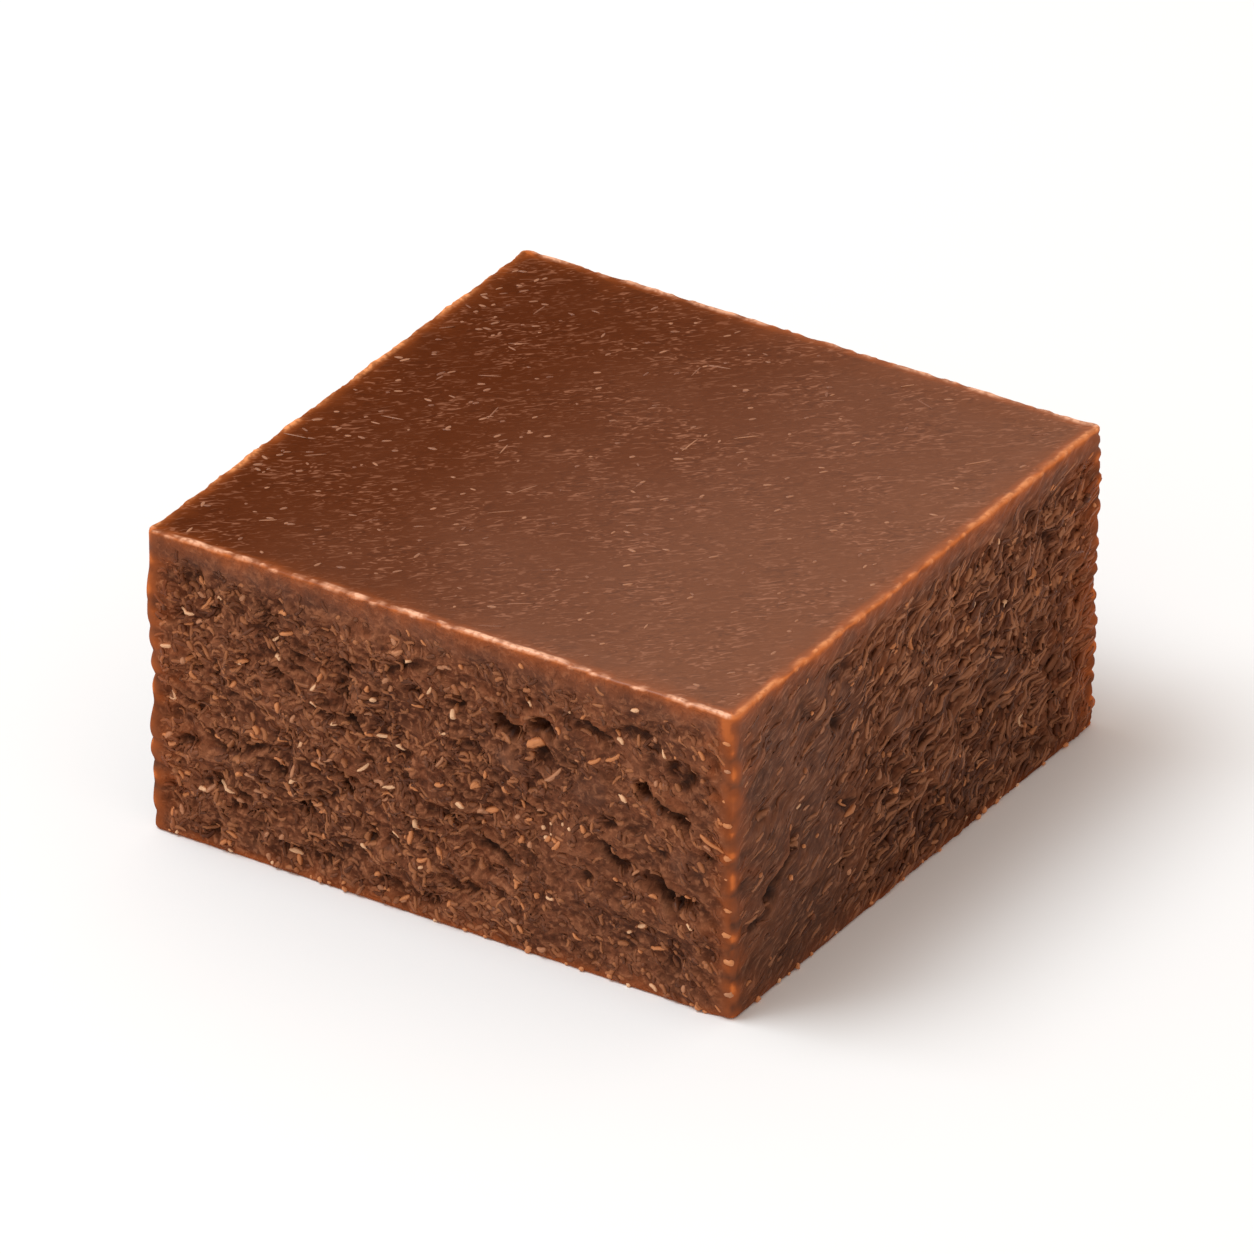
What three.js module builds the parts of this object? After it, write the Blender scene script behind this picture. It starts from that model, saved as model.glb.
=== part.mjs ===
// A square of dark chocolate fudge, cut from a slab that set in a lined tin.
//
// The top is the slab's own surface, smooth and almost flat. The four sides are knife cuts. Fudge
// tears as much as it slices, so the sides are crumbly, with pits, short cracks and smooth lumps,
// and the upright corners come out toothed. The underside is flat, as it lay in the tin.
//
// Millimetres, +Z up. The origin is the middle of the underside. The front side faces -Y.

import * as THREE from 'three';

// ---- Driving sizes ----

const SIDE = 40;
const HEIGHT = 20;
const CORNER_RADIUS = 0.9;
const TOP_EDGE_RADIUS = 0.5;

// The saw-like teeth on the upright corners, counted over the whole height.
const TEETH = 11;
const TOOTH_PITCH = HEIGHT / TEETH;
const TOOTH_DEPTH = 0.34;
const TOOTH_REACH = 1.5;

// The mesh has two rows to a tooth, and columns about as wide as a row is high.
const ROW_HEIGHT = TOOTH_PITCH / 2;
const FOOT_RADIUS = ROW_HEIGHT;
const STRAIGHT_STEPS = 40;
const COLUMN_WIDTH = (SIDE - 2 * CORNER_RADIUS) / STRAIGHT_STEPS;
const CORNER_STEPS = 2;
const EDGE_STEPS = 2;

// In the open part of a side the points sway off the grid by this share of a step, and those that
// are nearer than this to a crack slide onto its line, so that its bottom is one unbroken crease.
const SWAY = 0.2;
const SLIDE_REACH = 0.5;
const SLIDE_SHARE = 0.9;

// Just under the top the slab cut cleanly. The crumb starts at CLEAN_DEPTH and is full at CRUMB_DEPTH.
const CLEAN_DEPTH = 0.6;
const CRUMB_DEPTH = 3.4;

// Height and grain size of the crumb, coarse lumps and finer grains.
const LUMP_HEIGHT = 0.24;
const LUMP_SIZE = 3.1;
const GRAIN_HEIGHT = 0.22;
const GRAIN_SIZE = 1.35;

// The slab's top dips by this much here and there, over stretches of this size.
const TOP_DIP = 0.14;
const TOP_SWELL = 11;

// How far in from the outline each ring of the top and the underside lies.
const TOP_RINGS = [2.6, 6.2, 12];
const UNDERSIDE_RINGS = [3.4, 7.4, 13];
const TOP_MARGIN = 0.7;

// A crack's lip dies away over this distance.
const LIP_TAIL = 1.6;

const FRONT = 0;
const RIGHT = 1;
const BACK = 2;
const LEFT = 3;

// Cracks: [distance along the side from its left-hand end, height] for each bend, seen from outside.
const CRACKS = [
  { side: FRONT, path: [[23.3, 13.9], [24.5, 15.0], [25.9, 14.0]], width: 1.6, depth: 1.2, lip: 0.2 },
  { side: FRONT, path: [[26.0, 14.4], [26.9, 15.4], [28.0, 14.8]], width: 1.5, depth: 1.0, lip: 0.2 },
  { side: FRONT, path: [[23.4, 10.7], [25.2, 9.9], [27.6, 9.4]], width: 1.2, depth: 0.7, lip: 0.2 },
  { side: FRONT, path: [[29.3, 9.0], [31.0, 8.6], [32.7, 7.6]], width: 1.3, depth: 0.8, lip: 0.2 },
  {
    side: FRONT,
    path: [[34.2, 8.3], [35.4, 6.8], [36.5, 6.2], [37.8, 7.0]],
    width: 2.0, depth: 1.6, lip: 0.3,
  },
  {
    side: FRONT,
    path: [[33.2, 13.7], [34.4, 12.7], [36.0, 12.3], [38.6, 11.2]],
    width: 1.5, depth: 1.0, lip: 0.3,
  },
  { side: FRONT, path: [[31.5, 16.6], [33.1, 17.0], [34.8, 16.8]], width: 1.1, depth: 0.4, lip: 0.1 },
  { side: FRONT, path: [[12.8, 12.1], [14.0, 11.6], [15.2, 10.7]], width: 1.2, depth: 0.5, lip: 0.1 },
  { side: FRONT, path: [[16.2, 16.2], [17.4, 15.7], [18.2, 14.9]], width: 1.2, depth: 0.5, lip: 0.1 },
  { side: FRONT, path: [[21.8, 6.5], [23.6, 6.3], [25.4, 5.5]], width: 1.2, depth: 0.6, lip: 0.2 },
  {
    side: RIGHT,
    path: [[2.2, 5.3], [4.1, 5.7], [5.5, 6.9], [7.4, 8.8]],
    width: 1.7, depth: 1.4, lip: 0.3,
  },
  { side: RIGHT, path: [[6.7, 17.3], [8.6, 16.0], [10.5, 16.8]], width: 1.1, depth: 0.5, lip: 0.1 },
  { side: RIGHT, path: [[11.2, 9.0], [12.5, 7.8], [13.8, 7.4]], width: 1.2, depth: 0.5, lip: 0.1 },
  { side: RIGHT, path: [[32.4, 13.3], [34.2, 11.5], [36.7, 8.1]], width: 1.2, depth: 0.6, lip: 0.2 },
  { side: RIGHT, path: [[19.6, 7.2], [21.8, 6.0], [23.4, 4.0]], width: 1.2, depth: 0.5, lip: 0.1 },
  {
    side: BACK,
    path: [[6.4, 6.3], [9.2, 7.8], [11.0, 6.9], [14.2, 7.1]],
    width: 1.6, depth: 1.2, lip: 0.3,
  },
  { side: BACK, path: [[19.2, 16.6], [22.0, 16.0], [24.8, 14.3]], width: 1.4, depth: 0.9, lip: 0.2 },
  { side: BACK, path: [[27.4, 13.8], [30.6, 12.9], [33.0, 11.2]], width: 1.5, depth: 1.1, lip: 0.3 },
  { side: BACK, path: [[30.4, 7.4], [33.8, 6.9], [37.0, 5.9]], width: 1.2, depth: 0.6, lip: 0.2 },
  { side: LEFT, path: [[6.2, 12.0], [8.6, 12.7], [10.9, 12.3]], width: 1.4, depth: 0.8, lip: 0.2 },
  { side: LEFT, path: [[11.6, 11.0], [13.3, 10.1], [14.4, 8.8]], width: 1.9, depth: 1.3, lip: 0.3 },
  {
    side: LEFT,
    path: [[23.8, 16.0], [27.2, 15.8], [28.8, 13.6], [31.8, 12.6]],
    width: 1.5, depth: 1.0, lip: 0.3,
  },
  { side: LEFT, path: [[29.6, 6.6], [31.8, 5.2], [34.2, 5.8]], width: 1.5, depth: 0.9, lip: 0.2 },
];

// Pits where a lump of crumb came away with the knife.
const PITS = [
  { side: FRONT, along: 33.8, up: 13.3, length: 1.9, height: 1.4, tilt: -0.3, depth: 0.9 },
  { side: FRONT, along: 36.4, up: 14.6, length: 2.4, height: 2.0, tilt: 0.2, depth: 0.6 },
  { side: FRONT, along: 13.6, up: 6.9, length: 1.4, height: 1.8, tilt: 0.3, depth: 0.6 },
  { side: FRONT, along: 3.1, up: 12.2, length: 2.2, height: 1.2, tilt: -0.8, depth: 0.7 },
  { side: FRONT, along: 8.8, up: 13.1, length: 1.6, height: 1.2, tilt: 0.6, depth: 0.6 },
  { side: FRONT, along: 2.7, up: 6.8, length: 2.0, height: 1.1, tilt: -0.1, depth: 0.6 },
  { side: FRONT, along: 15.3, up: 4.4, length: 1.5, height: 2.0, tilt: 0.4, depth: 0.6 },
  { side: FRONT, along: 6.3, up: 4.2, length: 2.2, height: 1.2, tilt: -0.2, depth: 0.6 },
  { side: FRONT, along: 30.1, up: 6.4, length: 1.4, height: 1.5, tilt: 0.2, depth: 0.5 },
  { side: RIGHT, along: 11.2, up: 14.2, length: 1.7, height: 1.5, tilt: 0.4, depth: 0.7 },
  { side: RIGHT, along: 3.5, up: 11.9, length: 1.4, height: 1.2, tilt: 0.3, depth: 0.5 },
  { side: RIGHT, along: 12.2, up: 4.7, length: 1.2, height: 2.0, tilt: 0.0, depth: 0.5 },
  { side: RIGHT, along: 35.4, up: 2.2, length: 2.0, height: 1.3, tilt: -0.5, depth: 0.6 },
  { side: RIGHT, along: 25.0, up: 12.6, length: 1.6, height: 1.2, tilt: 0.5, depth: 0.5 },
  { side: BACK, along: 24.9, up: 11.2, length: 1.9, height: 1.3, tilt: -0.4, depth: 0.8 },
  { side: BACK, along: 4.0, up: 13.6, length: 2.2, height: 1.2, tilt: 0.5, depth: 0.6 },
  { side: BACK, along: 15.6, up: 13.2, length: 1.5, height: 1.7, tilt: 0.1, depth: 0.5 },
  { side: BACK, along: 20.9, up: 3.8, length: 2.1, height: 1.2, tilt: 0.2, depth: 0.6 },
  { side: LEFT, along: 6.8, up: 17.0, length: 1.5, height: 1.3, tilt: -0.5, depth: 0.7 },
  { side: LEFT, along: 1.9, up: 15.2, length: 1.5, height: 1.3, tilt: 0.3, depth: 0.7 },
  { side: LEFT, along: 19.3, up: 8.9, length: 1.6, height: 2.3, tilt: -0.3, depth: 0.8 },
  { side: LEFT, along: 23.5, up: 5.4, length: 1.2, height: 1.9, tilt: 0.1, depth: 0.6 },
  { side: LEFT, along: 36.6, up: 10.4, length: 2.0, height: 1.5, tilt: 0.5, depth: 0.6 },
];

// Smooth lumps that stayed on the cut and stand a little proud of it.
const LUMPS = [
  { side: FRONT, along: 25.2, up: 12.6, length: 4.6, height: 2.8, tilt: -0.2, rise: 0.42 },
  { side: FRONT, along: 36.8, up: 9.4, length: 4.6, height: 3.4, tilt: -0.4, rise: 0.36 },
  { side: FRONT, along: 30.4, up: 12.2, length: 4.4, height: 3.6, tilt: 0.5, rise: 0.26 },
  { side: FRONT, along: 7.4, up: 9.0, length: 4.4, height: 3.0, tilt: 0.7, rise: 0.26 },
  { side: RIGHT, along: 4.6, up: 9.6, length: 5.4, height: 3.8, tilt: 0.5, rise: 0.34 },
  { side: RIGHT, along: 7.4, up: 5.6, length: 5.6, height: 2.6, tilt: 0.3, rise: 0.28 },
  { side: RIGHT, along: 18.2, up: 11.4, length: 6.4, height: 2.4, tilt: 0.3, rise: 0.26 },
  { side: RIGHT, along: 29.4, up: 8.6, length: 4.8, height: 3.8, tilt: -0.6, rise: 0.28 },
  { side: BACK, along: 10.6, up: 9.8, length: 5.6, height: 3.2, tilt: 0.2, rise: 0.34 },
  { side: BACK, along: 30.0, up: 15.2, length: 4.8, height: 2.6, tilt: -0.4, rise: 0.26 },
  { side: BACK, along: 27.0, up: 5.2, length: 5.6, height: 3.2, tilt: 0.3, rise: 0.28 },
  { side: LEFT, along: 12.4, up: 13.4, length: 4.6, height: 2.6, tilt: -0.3, rise: 0.30 },
  { side: LEFT, along: 26.4, up: 11.8, length: 5.4, height: 4.0, tilt: 0.4, rise: 0.34 },
  { side: LEFT, along: 35.2, up: 5.0, length: 4.6, height: 3.0, tilt: 0.2, rise: 0.28 },
];

// ---- Small helpers ----

function smoothstep(from, to, value) {
  const share = THREE.MathUtils.clamp((value - from) / (to - from), 0, 1);
  return share * share * (3 - 2 * share);
}

// A repeatable number from -1 to 1 for each whole-number point of space.
function latticeValue(i, j, k, seed) {
  let mixed = Math.imul(i, 73856093) ^ Math.imul(j, 19349663) ^ Math.imul(k, 83492791);
  mixed ^= Math.imul(seed, 40503);
  mixed ^= mixed >>> 13;
  mixed = Math.imul(mixed, 1274126177);
  mixed ^= mixed >>> 16;
  return (mixed >>> 0) / 2 ** 31 - 1;
}

// Smooth lumps of the given size, from -1 to 1.
function lumpiness(x, y, z, size, seed) {
  const low = [x, y, z].map((value) => Math.floor(value / size));
  const [u, v, w] = [x, y, z].map((value, axis) => smoothstep(0, 1, value / size - low[axis]));
  let sum = 0;
  for (const i of [0, 1]) {
    for (const j of [0, 1]) {
      for (const k of [0, 1]) {
        const weight = (i ? u : 1 - u) * (j ? v : 1 - v) * (k ? w : 1 - w);
        sum += weight * latticeValue(low[0] + i, low[1] + j, low[2] + k, seed);
      }
    }
  }
  return sum;
}

// ---- Relief of the sides, in millimetres outward ----

// The nearest point of a crack: how far off it is, its share of the crack's length, where it is,
// and whether the given point lies below the crack.
function nearestOnCrack(path, along, up) {
  let nearest = { distance: Infinity };
  const spans = path.length - 1;
  for (let span = 0; span < spans; span += 1) {
    const [startAlong, startUp] = path[span];
    const runAlong = path[span + 1][0] - startAlong;
    const runUp = path[span + 1][1] - startUp;
    const reach = (along - startAlong) * runAlong + (up - startUp) * runUp;
    const part = THREE.MathUtils.clamp(reach / (runAlong ** 2 + runUp ** 2), 0, 1);
    const offAlong = along - startAlong - part * runAlong;
    const offUp = up - startUp - part * runUp;
    const distance = Math.hypot(offAlong, offUp);
    if (distance < nearest.distance) {
      const below = runAlong * offUp - runUp * offAlong < 0;
      nearest = { distance, share: (span + part) / spans, offAlong, offUp, below };
    }
  }
  return nearest;
}

// A crack is deepest midway. The crumb above it stands out as a lip that dies away upward.
function crackRelief(crack, along, up) {
  const { distance, share, below } = nearestOnCrack(crack.path, along, up);
  const strength = Math.sqrt(Math.sin(Math.PI * THREE.MathUtils.clamp(share, 0.06, 0.94)));
  const open = 1 - smoothstep(0, crack.width / 2, distance);
  const lip = below ? 0 : crack.lip * Math.exp(-distance / LIP_TAIL);
  return strength * (lip * (1 - open) - crack.depth * open);
}

// 1 at the middle of an oval patch and 0 from its rim outward.
function ovalShare(patch, along, up) {
  const cos = Math.cos(patch.tilt);
  const sin = Math.sin(patch.tilt);
  const acrossIt = ((along - patch.along) * cos + (up - patch.up) * sin) / (patch.length / 2);
  const upIt = ((up - patch.up) * cos - (along - patch.along) * sin) / (patch.height / 2);
  return 1 - smoothstep(0, 1, Math.hypot(acrossIt, upIt));
}

// Between the tips of the teeth, the upright corners are nicked, each nick to its own depth.
function toothRelief(side, along, up) {
  const toCorner = Math.min(along, SIDE - along);
  const corner = along < SIDE / 2 ? side : (side + 1) % 4;
  const tooth = Math.floor(up / TOOTH_PITCH);
  const nick = Math.sin(Math.PI * (up / TOOTH_PITCH - tooth)) ** 2;
  const depth = TOOTH_DEPTH * (0.7 + 0.3 * latticeValue(corner, tooth, 0, 5));
  return -depth * nick * (1 - smoothstep(0, TOOTH_REACH, toCorner));
}

function sideRelief(side, along, x, y, up) {
  const crumb = smoothstep(HEIGHT - CLEAN_DEPTH, HEIGHT - CRUMB_DEPTH, up);
  const lumps = LUMP_HEIGHT * lumpiness(x, y, up, LUMP_SIZE, 1);
  const grains = GRAIN_HEIGHT * lumpiness(x, y, up, GRAIN_SIZE, 2);
  let outward = crumb * (lumps + grains) + toothRelief(side, along, up);
  for (const lump of LUMPS.filter((each) => each.side === side)) {
    outward += lump.rise * ovalShare(lump, along, up);
  }
  for (const pit of PITS.filter((each) => each.side === side)) {
    outward -= pit.depth * ovalShare(pit, along, up);
  }
  for (const crack of CRACKS.filter((each) => each.side === side)) {
    outward += crackRelief(crack, along, up);
  }
  return outward;
}

// ---- Outline and rings ----

// The outline seen from above, anticlockwise, from the middle of one corner's arc round to the next.
function outlinePoints() {
  const half = SIDE / 2;
  const inner = half - CORNER_RADIUS;
  const eighth = Math.PI / 4;
  const oneSide = [];
  const addArc = (centreX, startAngle) => {
    for (let step = 0; step < CORNER_STEPS; step += 1) {
      const angle = startAngle + (eighth * step) / CORNER_STEPS;
      const [outX, outY] = [Math.cos(angle), Math.sin(angle)];
      oneSide.push({ x: centreX + CORNER_RADIUS * outX, y: -inner + CORNER_RADIUS * outY, outX, outY });
    }
  };
  addArc(-inner, 5 * eighth);
  for (let step = 0; step < STRAIGHT_STEPS; step += 1) {
    oneSide.push({ x: -inner + COLUMN_WIDTH * step, y: -half, outX: 0, outY: -1, open: step > 0 });
  }
  addArc(inner, 6 * eighth);

  const quarterTurns = [[1, 0], [0, 1], [-1, 0], [0, -1]];
  return quarterTurns.flatMap(([cos, sin], side) => oneSide.map((point) => ({
    side,
    along: point.x + half,
    open: point.open === true,
    x: point.x * cos - point.y * sin,
    y: point.x * sin + point.y * cos,
    outX: point.outX * cos - point.outY * sin,
    outY: point.outX * sin + point.outY * cos,
  })));
}

// Heights of the rows of the sides, with how far each is drawn in at the rounded foot and top edge.
function sideRows() {
  const rows = [];
  for (let step = 0; step <= EDGE_STEPS; step += 1) {
    const angle = (Math.PI / 2) * (step / EDGE_STEPS);
    rows.push({
      up: FOOT_RADIUS * (1 - Math.cos(angle)),
      inset: FOOT_RADIUS * (1 - Math.sin(angle)),
      open: false,
    });
  }
  for (let up = 2 * ROW_HEIGHT; up < HEIGHT - TOP_EDGE_RADIUS; up += ROW_HEIGHT) {
    rows.push({ up, inset: 0, open: true });
  }
  for (let step = 0; step <= EDGE_STEPS; step += 1) {
    const angle = (Math.PI / 2) * (step / EDGE_STEPS);
    rows.push({
      up: HEIGHT - TOP_EDGE_RADIUS * (1 - Math.sin(angle)),
      inset: TOP_EDGE_RADIUS * (1 - Math.cos(angle)),
      open: false,
    });
  }
  return rows;
}

// A point of the side that is close to a crack, but not past its ends, slides onto its line.
function slideOntoCrack(side, along, up) {
  const slid = { along, up };
  for (const crack of CRACKS.filter((each) => each.side === side)) {
    const { distance, share, offAlong, offUp } = nearestOnCrack(crack.path, along, up);
    if (distance < SLIDE_REACH && share > 0 && share < 1) {
      slid.along = along - SLIDE_SHARE * offAlong;
      slid.up = up - SLIDE_SHARE * offUp;
    }
  }
  return slid;
}

// One row of the sides as points.
function sideRing(outline, row, rowNumber) {
  return outline.map((point, column) => {
    let spot = { along: point.along, up: row.up };
    if (row.open && point.open) {
      spot.along += SWAY * COLUMN_WIDTH * latticeValue(column, rowNumber, 0, 3);
      spot.up += SWAY * ROW_HEIGHT * latticeValue(column, rowNumber, 0, 4);
      spot = slideOntoCrack(point.side, spot.along, spot.up);
    }
    const shift = spot.along - point.along;
    const x = point.x - shift * point.outY;
    const y = point.y + shift * point.outX;
    const outward = sideRelief(point.side, spot.along, x, y, spot.up) - row.inset;
    return new THREE.Vector3(x + point.outX * outward, y + point.outY * outward, spot.up);
  });
}

// A ring of the top or the underside: every nth point of the outline, drawn in toward the middle.
function capRing(outline, inset, every, level) {
  const share = 1 - inset / (SIDE / 2);
  const kept = outline.filter((point, index) => index % every === 0);
  return kept.map(({ x, y }) => new THREE.Vector3(x * share, y * share, level(x * share, y * share)));
}

// Rings of the top or the underside, each with half as many points as the one outside it.
function thinningRings(outline, insets, level) {
  return insets.map((inset, index) => capRing(outline, inset, 2 ** (index + 1), level));
}

function topLevel(x, y) {
  return HEIGHT - TOP_DIP * (0.5 + 0.5 * lumpiness(x, y, 0, TOP_SWELL, 6));
}

// ---- Skin of triangles between the rings ----

// A quad is split along its shorter diagonal, which keeps a crease unbroken.
function quadFaces(points, lowLeft, lowRight, highRight, highLeft) {
  const rising = points[lowLeft].distanceTo(points[highRight]);
  const falling = points[lowRight].distanceTo(points[highLeft]);
  if (rising < falling) {
    return [lowLeft, lowRight, highRight, lowLeft, highRight, highLeft];
  }
  return [lowLeft, lowRight, highLeft, lowRight, highRight, highLeft];
}

// Triangles between two rings, of which one may have twice the points of the other.
function bandFaces(points, low, high) {
  const faces = [];
  const shorter = Math.min(low.length, high.length);
  for (let step = 0; step < shorter; step += 1) {
    const next = (step + 1) % shorter;
    if (low.length === high.length) {
      faces.push(...quadFaces(points, low[step], low[next], high[next], high[step]));
    } else if (low.length > high.length) {
      const middle = low[2 * step + 1];
      faces.push(low[2 * step], middle, high[step]);
      faces.push(middle, low[2 * next], high[next]);
      faces.push(middle, high[next], high[step]);
    } else {
      const middle = high[2 * step + 1];
      faces.push(low[step], middle, high[2 * step]);
      faces.push(low[step], low[next], middle);
      faces.push(low[next], high[2 * next], middle);
    }
  }
  return faces;
}

function closedSkin(rings) {
  const points = rings.flat();
  const numbers = [];
  let first = 0;
  for (const ring of rings) {
    numbers.push(ring.map((point, index) => first + index));
    first += ring.length;
  }
  const lowest = numbers[0];
  const highest = numbers[numbers.length - 1];
  const faces = [];
  for (let band = 0; band < numbers.length - 1; band += 1) {
    faces.push(...bandFaces(points, numbers[band], numbers[band + 1]));
  }
  points.push(new THREE.Vector3(0, 0, 0), new THREE.Vector3(0, 0, topLevel(0, 0)));
  lowest.forEach((number, index) => faces.push(first, lowest[(index + 1) % lowest.length], number));
  highest.forEach((number, index) => faces.push(number, highest[(index + 1) % highest.length], first + 1));
  const skin = new THREE.BufferGeometry().setFromPoints(points);
  skin.setIndex(faces);
  return skin;
}

// ---- The piece ----

function fudgeGeometry() {
  const outline = outlinePoints();
  const sides = sideRows().map((row, rowNumber) => sideRing(outline, row, rowNumber));
  const underside = thinningRings(outline, UNDERSIDE_RINGS, () => 0);
  const margin = capRing(outline, TOP_EDGE_RADIUS + TOP_MARGIN, 1, () => HEIGHT);
  const top = thinningRings(outline, TOP_RINGS, topLevel);
  const geometry = closedSkin([...underside.reverse(), ...sides, margin, ...top]);
  geometry.computeBoundingBox();
  const centre = geometry.boundingBox.getCenter(new THREE.Vector3());
  geometry.translate(-centre.x, -centre.y, 0);
  geometry.computeVertexNormals();
  return geometry;
}

const fudgeFinish = new THREE.MeshStandardMaterial({ color: '#6f452f', roughness: 0.5, metalness: 0 });
const fudgePiece = new THREE.Mesh(fudgeGeometry(), fudgeFinish);
fudgePiece.name = 'fudge_piece';

const model = new THREE.Group();
model.add(fudgePiece);

export default model;
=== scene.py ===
# %% [markdown]
# # A square of dark chocolate fudge
#
# Fudge is boiled sugar, butter and cocoa, beaten until it sets, and poured into a lined tin. The
# top of the slab sets smooth, with a satin sheen. A knife then cuts it into squares, and because
# fudge tears as much as it slices, the four cut sides are crumbly. This lesson builds one square,
# 40 mm wide and 20 mm high, and gives each kind of surface its own finish.
#
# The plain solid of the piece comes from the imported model, which sets the size and the place.
# What is made here stays within a third of a millimetre of that solid's box.

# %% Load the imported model
import math

import bmesh
import bpy
import numpy as np
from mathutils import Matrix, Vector


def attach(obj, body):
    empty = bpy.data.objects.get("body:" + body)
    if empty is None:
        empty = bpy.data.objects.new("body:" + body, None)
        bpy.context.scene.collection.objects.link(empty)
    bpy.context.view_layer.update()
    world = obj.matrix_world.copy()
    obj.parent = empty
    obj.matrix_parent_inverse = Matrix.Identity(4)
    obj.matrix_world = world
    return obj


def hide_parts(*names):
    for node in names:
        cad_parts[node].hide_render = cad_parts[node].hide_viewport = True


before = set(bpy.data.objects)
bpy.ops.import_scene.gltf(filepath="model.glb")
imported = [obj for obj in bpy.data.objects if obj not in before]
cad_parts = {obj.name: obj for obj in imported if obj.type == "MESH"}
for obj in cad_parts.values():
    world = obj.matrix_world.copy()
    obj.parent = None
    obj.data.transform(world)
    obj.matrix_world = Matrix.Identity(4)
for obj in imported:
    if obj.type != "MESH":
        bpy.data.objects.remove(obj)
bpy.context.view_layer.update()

MM = 0.001


# %% [markdown]
# ## The size of the cut
#
# A real square is four knife cuts through a slab, so its form is a low block with barely rounded
# edges. A cube primitive with a bevel would give the block, but not sides that can carry crumb.
# The sides are made as rows of points instead, and every row follows the same rounded outline.
# Sizes are in millimetres, and are multiplied by MM only when a mesh is made.

# %% Named sizes
SIDE = 40.0
HEIGHT = 20.0
CORNER_RADIUS = 0.55
TOP_EDGE_RADIUS = 0.24

# The knife's drag leaves a row of teeth up each upright corner. Each reaches a little way along
# the side, and the lowest are worn.
TEETH = 11
TOOTH_PITCH = HEIGHT / TEETH
TOOTH_DEPTH = 0.3
TOOTH_REACH = 1.3
WORN_FOOT = 0.12
FOOT_RADIUS = 0.25

# Two sides across from each other tore, and the knife was drawn along the other two.
FRONT, RIGHT, BACK, LEFT = range(4)
TORN_SIDES = (FRONT, BACK)
DRAGGED_SIDES = (RIGHT, LEFT)
print("one tooth of an upright corner is", round(TOOTH_PITCH, 2), "mm high")

# %% [markdown]
# ## Lumpiness
#
# Crumb is lumpy at several sizes at once. Each size is a field of random numbers on a grid of
# points in space, blended smoothly in between. The numbers come from multiplying and folding the
# grid point's place, not from a random generator, so the same lump is always in the same place
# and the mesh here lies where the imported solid's does. Each use has its own seed, the last number
# in the call, so that no two patterns fall together, and each side takes its lumps from a level
# of its own.

# %% Lumps of any size
WHOLE_WORD = 0xFFFFFFFF

# Large odd numbers that scatter neighbouring places far apart.
PLACE_SCATTER = (73856093, 19349663, 83492791)
SEED_SCATTER = 40503
LAST_SCATTER = 1274126177


def smoothstep(start, end, value):
    """0 before start, 1 after end, and an even curve in between."""
    share = np.clip((value - start) / (end - start), 0.0, 1.0)
    return share * share * (3.0 - 2.0 * share)


def lattice_value(i, j, k, seed):
    """A repeatable number from -1 to 1 for each whole-number point of space."""
    mixed = seed * SEED_SCATTER & WHOLE_WORD
    for place, scatter in zip((i, j, k), PLACE_SCATTER):
        mixed = mixed ^ (place * scatter & WHOLE_WORD)
    mixed = mixed ^ (mixed >> 13)
    mixed = mixed * LAST_SCATTER & WHOLE_WORD
    mixed = mixed ^ (mixed >> 16)
    return mixed / 2.0**31 - 1.0


def lumpiness(x, y, z, size, seed):
    """Smooth lumps of the given size, from -1 to 1."""
    x, y, z = np.broadcast_arrays(x, y, z)
    lows = [np.floor(value / size).astype(np.int64) for value in (x, y, z)]
    u, v, w = [smoothstep(0.0, 1.0, value / size - low) for value, low in zip((x, y, z), lows)]
    total = 0.0
    for i in (0, 1):
        for j in (0, 1):
            for k in (0, 1):
                weight = (u if i else 1 - u) * (v if j else 1 - v) * (w if k else 1 - w)
                total = total + weight * lattice_value(lows[0] + i, lows[1] + j, lows[2] + k, seed)
    return total


print("lumpiness of one spot:", round(float(lumpiness(3.0, 4.0, 5.0, 3.1, 1)), 4))
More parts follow.
